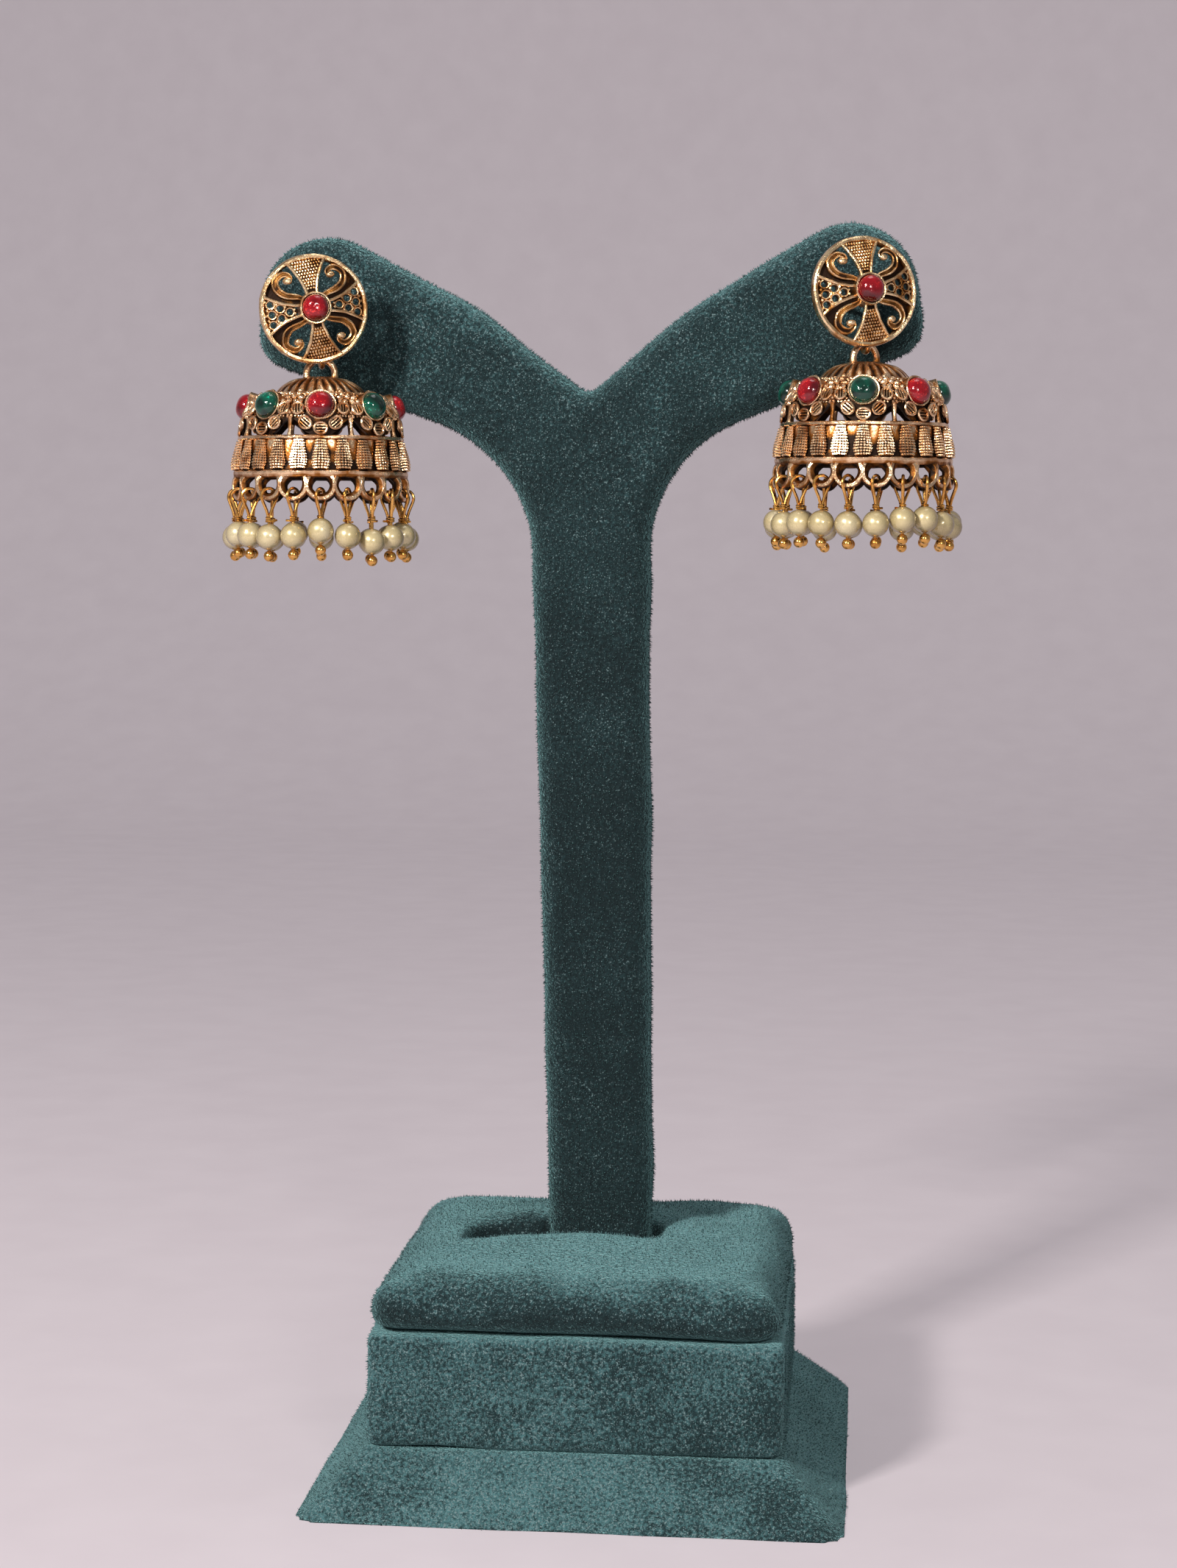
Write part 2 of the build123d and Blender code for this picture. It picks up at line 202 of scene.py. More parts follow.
def arc_through(first, middle, last, count):
    """Points on the circle through three flat points, from the first to the last."""
    a, b, c = (np.array(p, float) for p in (first, middle, last))
    matrix = 2 * np.array([b - a, c - a])
    centre = np.linalg.solve(matrix, [b @ b - a @ a, c @ c - a @ a])
    spokes = [p - centre for p in (a, b, c)]
    start, halfway, end = (math.atan2(p[1], p[0]) for p in spokes)
    full = 2 * math.pi
    if (halfway - start) % full > (end - start) % full:
        end = start - (start - end) % full
    else:
        end = start + (end - start) % full
    angle = np.linspace(start, end, count)
    reach = np.linalg.norm(spokes[0])
    return centre + reach * np.stack([np.cos(angle), np.sin(angle)], -1)


# %% Placing shapes with matrices
def shift(x=0.0, y=0.0, z=0.0):
    """A matrix that moves."""
    matrix = np.eye(4)
    matrix[:3, 3] = x, y, z
    return matrix


def turn(axis, degrees):
    """A matrix that turns about X, Y or Z, the way a screw turns as it goes along the axis."""
    return np.array(Matrix.Rotation(math.radians(degrees), 4, axis))


def put(shape, matrix):
    """A shape moved by one matrix."""
    points, faces, polish = shape
    return points @ matrix[:3, :3].T + matrix[:3, 3], faces, polish


def copies(shape, matrices):
    """A shape repeated once for each matrix of a stack, all at once."""
    points, faces, polish = shape
    matrices = np.asarray(matrices)
    count = len(matrices)
    moved = np.einsum("kij,nj->kni", matrices[:, :3, :3], points) + matrices[:, None, :3, 3]
    starts = (np.arange(count) * len(points))[:, None, None]
    numbered = np.where(faces < 0, -1, faces + starts)
    return moved.reshape(-1, 3), numbered.reshape(-1, 4), np.tile(polish, count)


def around(count, first=0.0, then=None):
    """Matrices at equal steps round Z, each after another placing."""
    then = np.eye(4) if then is None else then
    return [turn("Z", first + 360.0 / count * k) @ then for k in range(count)]


# %% From arrays to a Blender object
def in_scene(name, data):
    """A new object in the scene."""
    item = bpy.data.objects.new(name, data)
    bpy.context.scene.collection.objects.link(item)
    return item


def store_tone_and_shade(mesh, polish):
    """Keeps a number at each point, which the materials read by name: on metal its polish, patina and
    painted shade, on velvet its nap tone and painted light.
    """
    values = mesh.attributes.new("polish", "FLOAT", "POINT").data
    values.foreach_set("value", polish.astype(np.float32))


def make_piece(name, shape, material, body, replaced=(), sharp=35.0):
    """One Blender object, in metres, that rides on a CAD body and stands for its CAD nodes."""
    points, faces, polish = shape
    used = faces >= 0
    corners = used.sum(1)
    mesh = bpy.data.meshes.new(name)
    mesh.vertices.add(len(points))
    mesh.vertices.foreach_set("co", (points * MM).astype(np.float32).ravel())
    mesh.loops.add(int(corners.sum()))
    mesh.loops.foreach_set("vertex_index", faces[used].astype(np.int32))
    mesh.polygons.add(len(faces))
    starts = np.concatenate([[0], np.cumsum(corners)[:-1]])
    mesh.polygons.foreach_set("loop_start", starts.astype(np.int32))
    mesh.update(calc_edges=True)
    store_tone_and_shade(mesh, polish)
    mesh.shade_smooth()
    mesh.set_sharp_from_angle(angle=math.radians(sharp))
    mesh.materials.append(material)
    piece = in_scene(name, mesh)
    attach(piece, body)
    if replaced:
        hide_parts(*replaced)
    print(f"{name}: {int((corners - 2).sum())} triangles")
    return piece


# %% [markdown]
# ## Finishes
#
# A finish is a small machine of nodes. Effects that several finishes share are node groups: one turns
# the polish of a casting, with the patina and painted shade of its recesses and some painted highlights,
# into colour, roughness and grain, and one gives the nap of velvet, with its painted glints. The shader
# itself stays in each material. Everything is patterned on object coordinates, so it never slides in
# another view.


# %% Helpers for node trees
def feed(tree, node, values):
    """Fills a node's inputs: each value is another node's output, a number, or a colour of three."""
    for key, value in values.items():
        socket = node.inputs[key]
        if isinstance(value, bpy.types.NodeSocket):
            tree.links.new(value, socket)
        elif isinstance(value, tuple):
            socket.default_value = (*value, 1.0)
        else:
            socket.default_value = value


def add(tree, kind, values=None, **settings):
    """A new node. settings are its properties, and values fill its inputs by name or number."""
    node = tree.nodes.new(kind)
    for key, value in settings.items():
        setattr(node, key, value)
    feed(tree, node, values or {})
    return node


def ramp(tree, source, stops):
    """A colour ramp: stops are (place, colour)."""
    node = add(tree, "ShaderNodeValToRGB", {"Fac": source})
    elements = node.color_ramp.elements
    while len(elements) < len(stops):
        elements.new(0.5)
    for element, (place, colour) in zip(elements, stops):
        element.position = place
        element.color = (*colour, 1.0)
    return node.outputs["Color"]


def spread(tree, source, low, high, new_low=0.0, new_high=1.0):
    """Maps a value from one range to another, and holds it inside."""
    values = {"Value": source, "From Min": low, "From Max": high, "To Min": new_low, "To Max": new_high}
    return add(tree, "ShaderNodeMapRange", values).outputs["Result"]


def sums(tree, operation, first, second):
    """One sum on two values."""
    return add(tree, "ShaderNodeMath", {0: first, 1: second}, operation=operation).outputs["Value"]


def plus(tree, first, second):
    """first + second."""
    return sums(tree, "ADD", first, second)


def times(tree, first, second):
    """first x second."""
    return sums(tree, "MULTIPLY", first, second)


def mixed(tree, share, first, second):
    """Blends two colours: all first at share 0, all second at share 1."""
    share_in, first_in, second_in, colour_out = 0, 6, 7, 2
    values = {share_in: share, first_in: first, second_in: second}
    return add(tree, "ShaderNodeMix", values, data_type="RGBA").outputs[colour_out]


def noise(tree, place, scale, detail=2.0):
    """Soft random values on object coordinates, scale to the metre."""
    values = {"Vector": place, "Scale": scale, "Detail": detail}
    return add(tree, "ShaderNodeTexNoise", values).outputs["Fac"]


def bump(tree, shader, height, strength, distance):
    """Feeds a height, in metres times distance, into the shader's normal."""
    values = {"Height": height, "Strength": strength, "Distance": distance}
    feed(tree, shader, {"Normal": add(tree, "ShaderNodeBump", values).outputs["Normal"]})


def new_group(name, inputs, outputs):
    """An empty node group with named sockets. Gives its tree, what it is given and its exit."""
    tree = bpy.data.node_groups.new(name, "ShaderNodeTree")
    for in_out, sockets in (("INPUT", inputs), ("OUTPUT", outputs)):
        for label, kind in sockets.items():
            tree.interface.new_socket(label, in_out=in_out, socket_type="NodeSocket" + kind)
    return tree, add(tree, "NodeGroupInput").outputs, add(tree, "NodeGroupOutput")


def group_on(tree, group, place, tone_and_shade_socket, values):
    """A shared group in a material, fed with the object coordinates and each point's stored number: polish
    and painted shade, or nap tone and painted light.
    """
    polish = add(tree, "ShaderNodeAttribute", attribute_name="polish").outputs["Fac"]
    values = {"Place": place, tone_and_shade_socket: polish, **values}
    return add(tree, "ShaderNodeGroup", values, node_tree=group).outputs


def new_material(name, values):
    """A material with one Principled shader, and the object coordinates to pattern it on."""
    material = bpy.data.materials.new(name)
    material.use_nodes = True
    tree = material.node_tree
    tree.nodes.clear()
    shader = add(tree, "ShaderNodeBsdfPrincipled", values)
    add(tree, "ShaderNodeOutputMaterial", {"Surface": shader.outputs["BSDF"]})
    return material, tree, shader, add(tree, "ShaderNodeTexCoord").outputs["Object"]


# %% The casting group: polish, patina and painted shade become colour, roughness and grain
BLOTCHES, PITS = 520.0, 3200.0  # to the metre
casting, given, casting_exit = new_group(
    "aged_casting",
    {
        "Place": "Vector", "Polish_and_shade": "Float", "High": "Color", "Middle": "Color", "Recess": "Color",
        "Smoothest": "Float",
    },
    {"Colour": "Color", "Roughness": "Float", "Metal": "Float", "Grain": "Float"},
)
blotch = noise(casting, given["Place"], BLOTCHES, 3.0)
pits = noise(casting, given["Place"], PITS)
ragged = plus(casting, given["Polish_and_shade"], times(casting, plus(casting, blotch, -0.52), 1.8))
low_half = spread(casting, ragged, 0.1, 0.6)
high_half = spread(casting, ragged, 0.55, 1.1)
# Painted shade as well as patina: low values take the near-black recess colour. High values take the pale
# high colour, which also serves for painted highlights.
colour = mixed(casting, low_half, given["Recess"], given["Middle"])
colour = mixed(casting, high_half, colour, given["High"])
dull = times(casting, sums(casting, "SUBTRACT", 1.0, ragged), 0.3)
rough = plus(casting, sums(casting, "MAXIMUM", dull, 0.0), given["Smoothest"])
made = {
    "Colour": colour,
    "Roughness": plus(casting, rough, times(casting, pits, 0.1)),
    "Metal": spread(casting, ragged, 0.0, 0.4, 0.75, 1.0),
    "Grain": plus(casting, times(casting, blotch, 0.7), pits),
}
feed(casting, casting_exit, made)


def cast_metal(name, high, middle, recess, smoothest, grain):
    """A cast and plated metal: bright where it is rubbed and where a highlight is painted in, brown and
    dull in the recesses, where patina and painted shade darken it.
    """
    material, tree, shader, place = new_material(name, {"Metallic": 1.0})
    tones = {"High": high, "Middle": middle, "Recess": recess, "Smoothest": smoothest}
    made = group_on(tree, casting, place, "Polish_and_shade", tones)
    taken = {"Base Color": made["Colour"], "Roughness": made["Roughness"], "Metallic": made["Metal"]}
    feed(tree, shader, taken)
    bump(tree, shader, made["Grain"], grain, 0.0001)
    return material


# High, middle and recess colours; the near-black recess colour is patina and painted shade.
STUD_TONES = ((1.0, 0.75, 0.44), (0.40, 0.17, 0.04), (0.018, 0.006, 0.001))
BELL_TONES = ((1.0, 0.71, 0.44), (0.36, 0.13, 0.028), (0.014, 0.005, 0.001))
WIRE_TONES = ((0.84, 0.46, 0.13), (0.48, 0.20, 0.04), (0.10, 0.04, 0.01))
stud_gold = cast_metal("stud_yellow_gold_plate", *STUD_TONES, smoothest=0.21, grain=0.6)
bell_gold = cast_metal("bell_antique_gold_plate", *BELL_TONES, smoothest=0.21, grain=0.6)
pin_gold = cast_metal("head_pin_gold_wire", *WIRE_TONES, smoothest=0.16, grain=0.12)
print("metals:", stud_gold.name, bell_gold.name, pin_gold.name)

# %% Glass over foil
GLASS = {
    "Metallic": 0.12, "Roughness": 0.14, "Coat Weight": 1.0, "Coat Roughness": 0.015,
    "Specular IOR Level": 0.2,
}


def foiled_glass(name, deep, bright, painted_glint_colour, edge):
    """A glass cabochon with foil behind it: deep colour under a smooth clear coat, small bright flecks
    painted in as glints of the crumpled foil, and a painted glow along the edge as light inside the glass."""
    material, tree, shader, place = new_material(name, GLASS)
    cloud = noise(tree, place, 330.0)
    crumple = noise(tree, place, 3000.0, 1.0)
    body = ramp(tree, cloud, ((0.4, deep), (0.62, bright)))
    # Painted glints: small bright flecks stand in for light off the crumpled foil.
    painted_foil_glints = spread(tree, plus(tree, crumple, times(tree, cloud, 0.8)), 1.08, 1.24, 0.0, 0.8)
    body = mixed(tree, painted_foil_glints, body, painted_glint_colour)
    # Painted glow: the edge of the stone is drawn brighter, as light inside the glass.
    facing = add(tree, "ShaderNodeLayerWeight", {"Blend": 0.3}).outputs["Facing"]
    painted_edge_glow = spread(tree, facing, 0.25, 0.8, 0.0, 0.8)
    feed(tree, shader, {"Base Color": mixed(tree, painted_edge_glow, body, edge)})
    bump(tree, shader, crumple, 0.35, 0.0002)
    return material


# Deep, bright, painted glint and painted edge glow colours.
REDS = ((0.085, 0.0003, 0.003), (0.31, 0.001, 0.007), (0.90, 0.04, 0.03), (0.36, 0.002, 0.008))
GREENS = ((0.0, 0.014, 0.009), (0.0, 0.085, 0.05), (0.0, 0.45, 0.27), (0.0, 0.20, 0.115))
ruby_glass = foiled_glass("ruby_red_glass", *REDS)
emerald_glass = foiled_glass("emerald_green_glass", *GREENS)
print("glasses:", ruby_glass.name, emerald_glass.name)

# %% Pearl lacquer
pearl_finish, tree, shader, place = new_material(
    "cream_pearl_lacquer",
    {"Metallic": 0.25, "Roughness": 0.28, "Coat Weight": 0.7, "Coat Roughness": 0.1, "IOR": 1.55},
)
CREAMS = ((0.3, (0.56, 0.45, 0.22)), (0.55, (0.66, 0.55, 0.31)), (0.75, (0.73, 0.64, 0.42)))
# Painted shade: the pearl's colour darkens towards its rim, where it turns away from the eye.
PAINTED_RIM_SHADE = (0.20, 0.13, 0.045)
body = ramp(tree, noise(tree, place, 160.0), CREAMS)
facing = add(tree, "ShaderNodeLayerWeight", {"Blend": 0.35}).outputs["Facing"]
ripple = noise(tree, place, 1500.0)
made = {
    "Base Color": mixed(tree, facing, body, PAINTED_RIM_SHADE),
    "Roughness": spread(tree, ripple, 0.3, 0.7, 0.2, 0.4),
}
feed(tree, shader, made)
bump(tree, shader, ripple, 0.2, 0.0001)

# %% [markdown]
# ## Velvet
#
# Velvet is a cloth with a short dense pile. Its fibres hide light when they point at the eye and catch
# it when they are seen from the side, so edges look pale and faces look dark. Brushing tips the pile
# this way and that, which leaves soft patches. Here the ground cloth is one surface and the pile is
# thousands of small closed spikes, each with its own tone, and both have the shader's sheen.

# %% The nap group and the two velvet materials
# The last colour is for painted glints, small pale specks on the fibres.
NAP_COLOURS = {
    "Dark": (0.0035, 0.0095, 0.0115),
    "Middle": (0.011, 0.029, 0.033),
    "Light": (0.066, 0.165, 0.178),
    "Painted_glint": (0.17, 0.25, 0.26),
}
NAP_SHEEN = {
    "Roughness": 0.85, "Specular IOR Level": 0.2,
    "Sheen Weight": 0.55, "Sheen Roughness": 0.45, "Sheen Tint": (0.42, 0.84, 0.86),
}
nap, given, nap_exit = new_group(
    "velvet_nap",
    {"Place": "Vector", "Tone": "Float", **dict.fromkeys(NAP_COLOURS, "Color")},
    {"Colour": "Color", "Height": "Float"},
)
brushed = noise(nap, given["Place"], 110.0, 3.0)
tufted = noise(nap, given["Place"], 2000.0)
fibres = noise(nap, given["Place"], 4200.0, 1.0)
tone = plus(nap, given["Tone"], spread(nap, brushed, 0.3, 0.7, -0.1, 0.1))
tone = plus(nap, tone, spread(nap, tufted, 0.3, 0.7, -0.32, 0.32))
colour = mixed(nap, spread(nap, tone, 0.0, 0.5), given["Dark"], given["Middle"])
colour = mixed(nap, spread(nap, tone, 0.5, 1.0), colour, given["Light"])
# Painted glints: pale specks where the fine fibre noise is high, more of them where the tone is light.
painted_glints = spread(nap, plus(nap, fibres, times(nap, tone, 0.16)), 0.66, 0.82)
made = {
    "Colour": mixed(nap, painted_glints, colour, given["Painted_glint"]),
    "Height": plus(nap, tufted, times(nap, fibres, 0.5)),
}
feed(nap, nap_exit, made)


def velvet(name):
    """Velvet whose tone, from brushed dark to brushed light, is stored at each point."""
    material, tree, shader, place = new_material(name, NAP_SHEEN)
    made = group_on(tree, nap, place, "Tone", NAP_COLOURS)
    feed(tree, shader, {"Base Color": made["Colour"]})
    bump(tree, shader, made["Height"], 0.9, 0.0005)
    return material


velvet_ground = velvet("teal_velvet_ground")
velvet_pile = velvet("teal_velvet_pile")
print("velvets:", velvet_ground.name, velvet_pile.name)

# %% [markdown]
# ## The stand
#
# The stand is board and card wrapped in velvet: a sloping foot, a square box, a stuffed pad and a flat
# Y-shaped post. Cloth softens every edge, so each piece starts from a copy of its solid that is merged,
# cut into small even cells and smoothed. Then its points move a little in and out, as cloth on card
# does, and the pile is planted on that surface.

# %% Smooth random values in space
LATTICE_SIZE = 32
lattice = chance.random((LATTICE_SIZE,) * 3)


def drift_field(points, size, offset=0.0):
    """Random numbers from 0 to 1 on a lattice with cells of that size, blended between the corners."""
    place = points / size + offset
    cell = np.floor(place).astype(int)
    part = place - cell
    part = part * part * (3 - 2 * part)
    total = np.zeros(len(points))
    for corner in np.ndindex(2, 2, 2):
        weight = np.where(corner, part, 1 - part).prod(1)
        total += weight * lattice[tuple(((cell + corner) % LATTICE_SIZE).T)]
    return total


# %% A cloth surface over a solid
def result_of(piece):
    """The mesh that a piece's modifiers make."""
    bpy.context.view_layer.update()
    depsgraph = bpy.context.evaluated_depsgraph_get()
    return bpy.data.meshes.new_from_object(piece.evaluated_get(depsgraph))


def apply_modifiers(piece):
    """Makes the modifiers' result the piece's own mesh."""
    piece.data = result_of(piece)
    piece.modifiers.clear()


CLOTH_SOFTENING = 3
MERGE_DISTANCE = 0.000001  # metres


def cloth_over(node, cell, name):
    """A closed even mesh over a CAD solid, as a new object, from a copy that is merged first."""
    piece = in_scene(name, nodes[node].data.copy())
    merge = piece.modifiers.new("merge", "WELD")
    merge.merge_threshold = MERGE_DISTANCE
    remesh = piece.modifiers.new("cells", "REMESH")
    remesh.mode = "VOXEL"
    remesh.voxel_size = cell * MM
    soften = piece.modifiers.new("soften", "SMOOTH")
    soften.factor = 0.5
    soften.iterations = CLOTH_SOFTENING
    apply_modifiers(piece)
    return piece


def rows_of(items, what, kind=np.float32):
    """Three numbers for each item of a mesh, as an array with three columns."""
    values = np.empty(len(items) * 3, kind)
    items.foreach_get(what, values)
    return values.reshape(-1, 3)


def corners_of(piece):
    """A mesh's points, in millimetres."""
    return rows_of(piece.data.vertices, "co").astype(float) / MM


def set_corners(piece, points):
    """Puts points, in millimetres, back into a mesh."""
    piece.data.vertices.foreach_set("co", (points * MM).astype(np.float32).ravel())
    piece.data.update()


def normals_of(piece):
    """Each point's outward direction."""
    return rows_of(piece.data.vertex_normals, "vector").astype(float)


# %% The cloth's ripple, and its tone with painted light and shade
TABLE_GAP = 0.02
PART_TONE = {"stand_arms": 0.37, "stand_box": 0.6, "stand_foot": 0.58, "stand_pad": 0.6}
PATCHES = ((0.4, 18.0, 5.7), (0.22, 5.0, 2.2))  # strength, size, place on the lattice
# Painted shade: darker low on the post, and on the pad where its cloth does not face up.
POST_SHADE, POST_LIGHT_FROM, POST_FADE = 0.33, 165.0, 40.0
PAD_SIDE_SHADE = 0.55


def ripple_cloth(piece, swell, amount, size):
    """Moves points along their directions by swell + amount x a soft random value from -0.5 to 0.5."""
    points, normals = corners_of(piece), normals_of(piece)
    wave = drift_field(points, size) - 0.5
    points += normals * (swell + amount * wave)[:, None]
    points[:, 2] = np.maximum(points[:, 2], TABLE_GAP)
    set_corners(piece, points)


def nap_tone_and_painted_light(points, ways, node):
    """How light the nap is drawn: each part's own tone, painted shade low on the post and where the pad's
    cloth does not face up, painted light where the cloth faces up, and patches that a hand has left."""
    height, facing_up = points[:, 2], ways[:, 2]
    # Painted light: cloth that faces up is drawn lighter.
    tone = PART_TONE[node] + 0.22 * np.clip(facing_up, -0.6, 1.0)
    for strength, size, offset in PATCHES:
        tone += strength * (drift_field(points, size, offset) - 0.5)
    if node == "stand_arms":
        tone -= POST_SHADE * np.clip((POST_LIGHT_FROM - height) / POST_FADE, 0, 1)
    if node == "stand_pad":
        tone -= PAD_SIDE_SHADE * np.clip(1 - facing_up, 0, 1)
    return np.clip(tone, 0.02, 1.0)


def finish_cloth(piece, node, swell, amount, size):
    """The ground cloth's ripple, tone, finish and body, with its CAD node hidden."""
    ripple_cloth(piece, swell, amount, size)
    store_tone_and_shade(piece.data, nap_tone_and_painted_light(corners_of(piece), normals_of(piece), node))
    piece.data.materials.clear()
    piece.data.materials.append(velvet_ground)
    piece.data.shade_smooth()
    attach(piece, "stand")
    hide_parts(node)
    print(f"{piece.name}: {len(piece.data.vertices)} points")


# %% The pile
PILE_LENGTH = 0.42
PILE_RADIUS = 0.1
PILE_ROOT = 0.1
PILE_PER_MM2 = 2.5
PILE_STRAY = 0.34
PILE_LEAN = 0.75
PILE_TONES = 0.3
PATCH_SIZE, CLUMP_SIZE = 6.0, 0.9
SPIKE = np.array([(0, 1, 3), (1, 2, 3), (2, 0, 3), (2, 1, 0)])


def plant_pile(piece, node, nap_direction, keep):
    """Spikes on a surface. Roots are spread by area, a spike is a closed pyramid on three corners, and
    its tip leans along the nap and a little at random, more in some patches than in others."""
    mesh = piece.data
    mesh.calc_loop_triangles()
    corner = rows_of(mesh.loop_triangles, "vertices", np.int32)
    points, normals = corners_of(piece), normals_of(piece)
    a, b, c = (points[corner[:, k]] for k in range(3))
    area = np.linalg.norm(np.cross(b - a, c - a), axis=1) / 2
    count = int(area.sum() * PILE_PER_MM2)
    draw = (np.arange(count) + chance.random(count)) / count * area.sum()
    face = np.minimum(np.searchsorted(np.cumsum(area), draw), len(area) - 1)
    u, v = chance.random((2, count))
    fold = u + v > 1
    u, v = np.where(fold, 1 - u, u), np.where(fold, 1 - v, v)
    weights = np.stack([1 - u - v, u, v], -1)
    root = (weights[:, :, None] * points[corner[face]]).sum(1)
    up = (weights[:, :, None] * normals[corner[face]]).sum(1)
    up /= np.linalg.norm(up, axis=1, keepdims=True)
    chosen = keep(root, up)
    root, up = root[chosen], up[chosen]
    count = len(root)
    patch = drift_field(root, PATCH_SIZE, 3.3)
    clump = drift_field(root, CLUMP_SIZE, 9.1)
    wild = chance.normal(0.0, PILE_STRAY, (count, 3))
    lean = np.array(nap_direction, float) * (0.25 + 0.7 * patch)[:, None] + wild
    lean -= (lean * up).sum(1, keepdims=True) * up
    tip_way = up + PILE_LEAN * lean
    tip_way /= np.linalg.norm(tip_way, axis=1, keepdims=True)
    length = PILE_LENGTH * (0.55 + 0.9 * clump) * chance.uniform(0.8, 1.15, count)
    side = np.cross(tip_way, np.roll(up, 1, 1) + 0.1)
    side /= np.linalg.norm(side, axis=1, keepdims=True)
    other = np.cross(tip_way, side)
    angle = chance.random(count) * 2 * np.pi
    base = []
    for corner_turn in full_turn(3):
        around_tip = (angle + corner_turn)[:, None]
        way = np.cos(around_tip) * side + np.sin(around_tip) * other
        base.append(root - up * PILE_ROOT + PILE_RADIUS * way)
    tip = root + tip_way * length[:, None]
    spikes = np.stack([*base, tip], 1)
    spikes[..., 2] = np.maximum(spikes[..., 2], 0.0)
    first = (np.arange(count) * 4)[:, None, None]
    faces = (first + SPIKE).reshape(-1, 3)
    faces = np.hstack([faces, np.full((len(faces), 1), -1)])
    tones = nap_tone_and_painted_light(root, up, node) + chance.normal(0.0, PILE_TONES, count)
    tones = np.repeat(np.clip(tones, 0, 1.2), 4)
    shape = (spikes.reshape(-1, 3), faces, tones)
    name = piece.name.replace("velvet", "pile")
    make_piece(name, shape, velvet_pile, "stand", sharp=180.0)


# %% [markdown]
# ### Post and arms
#
# One slab of board, wrapped on both faces. Its edges are round because the cloth is folded over them.
# Where a bell that swings right back leans a stone on the cloth, the pile is rubbed away.

# %% The wrapped Y
arms = cloth_over("stand_arms", 0.8, "velvet_post_and_arms")
finish_cloth(arms, "stand_arms", -0.1, 0.5, 9.0)
ARMS_PILED_FROM = 30.0
STONE_REACH = 2.7
STONES = 8


def stones_swung_back():
    """Where the middle of each bell stone comes when its bell swings right back."""
    spots = []
    for joint in frame["joints"]:
        pivot = np.array(joint["pos_m"])
        angle = math.radians(joint["range_deg"][0])
        swing = np.array(Matrix.Rotation(angle, 3, Vector(joint["axis"])))
        for k in range(STONES):
            low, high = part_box(f"{joint['child']}_stone_{k + 1}")
            spots.append((swing @ (np.array(low + high) / 2 - pivot) + pivot) / MM)
    return np.array(spots)


rubbed = stones_swung_back()


def distance_to(points, spots):
    """How far each point is from the nearest of some spots."""
    return np.linalg.norm(points[:, None] - spots[None], axis=-1).min(1)


def piled_arm(root, up):
    """Pile on everything above the cushion, except within a stone's reach of a rubbed spot."""
    return (root[:, 2] > ARMS_PILED_FROM) & (distance_to(root, rubbed) > STONE_REACH)


plant_pile(arms, "stand_arms", (0.0, 0.0, -0.9), piled_arm)

# %% [markdown]
# ### Foot and box
#
# The foot is a skirt of covered card that slopes out to the table, and the box stands in its middle.

# %% The wrapped foot and box
FOOT_PILED_TO, BOX_PILED_TO = 8.7, 25.2


def piled_foot(root, up):
    """Pile on the slopes, not underneath nor where the box stands."""
    return (up[:, 2] > -0.5) & (root[:, 2] < FOOT_PILED_TO)


def piled_box(root, up):
    """Pile on the four sides, up to the pad."""
    return (abs(up[:, 2]) < 0.6) & (root[:, 2] < BOX_PILED_TO)


foot = cloth_over("stand_foot", 0.95, "velvet_foot")
finish_cloth(foot, "stand_foot", -0.05, 0.5, 11.0)
plant_pile(foot, "stand_foot", (0.0, 0.0, -0.7), piled_foot)
box = cloth_over("stand_box", 0.95, "velvet_box")
finish_cloth(box, "stand_box", -0.05, 0.45, 10.0)
plant_pile(box, "stand_box", (0.0, 0.0, -0.8), piled_box)

# %% [markdown]
# ### The pad
#
# The pad is stuffed, so it is inflated as real cloth would be: a copy of its solid is enlarged to the
# size of a seat cushion, where Blender's Cloth behaves well, blown up with a little pressure and shrunk
# back. Its underside is pinned, because it lies flat on the box, and no point may move far.

# %% Inflate the pad
PAD_ENLARGED = 8.0
PAD_PRESSURE = 3.0
PAD_FRAMES = 16
PAD_LIMIT = 0.9
PAD_PINNED = 0.9
PAD_PILED_FROM = 26.3


def inflate(piece):
    """Simulates a closed cloth with air in it, and caps how far each point moves."""
    start = corners_of(piece)
    set_corners(piece, start * PAD_ENLARGED)
    low = start[:, 2].min()
    pinned = piece.vertex_groups.new(name="underside")
    flat = np.nonzero(start[:, 2] < low + PAD_PINNED)[0]
    pinned.add(flat.tolist(), 1.0, "REPLACE")
    cloth = piece.modifiers.new("air", "CLOTH")
    cloth.settings.use_pressure = True
    cloth.settings.uniform_pressure_force = PAD_PRESSURE
    cloth.settings.vertex_group_mass = "underside"
    cloth.settings.effector_weights.gravity = 0.0
    cloth.point_cache.frame_start = 1
    cloth.point_cache.frame_end = PAD_FRAMES
    for step in range(1, PAD_FRAMES + 1):
        bpy.context.scene.frame_set(step)
    swollen = result_of(piece)
    piece.modifiers.clear()
    piece.vertex_groups.clear()
    step = rows_of(swollen.vertices, "co") / MM / PAD_ENLARGED - start
    reach = np.linalg.norm(step, axis=1, keepdims=True)
    step *= np.minimum(1.0, PAD_LIMIT / np.maximum(reach, 1e-9))
    print("pad swells by up to", round(float(np.linalg.norm(step, axis=1).max()), 2), "mm")
    set_corners(piece, start + step)
    bpy.context.scene.frame_set(1)


def piled_pad(root, up):
    """Pile on the top and sides, down to the seam."""
    return (up[:, 2] > -0.3) & (root[:, 2] > PAD_PILED_FROM)


pad = cloth_over("stand_pad", 1.4, "velvet_pad")
inflate(pad)
finer = pad.modifiers.new("finer", "SUBSURF")
finer.levels = finer.render_levels = 1
apply_modifiers(pad)
finish_cloth(pad, "stand_pad", -0.05, 0.6, 8.0)
plant_pile(pad, "stand_pad", (0.0, -0.75, 0.0), piled_pad)

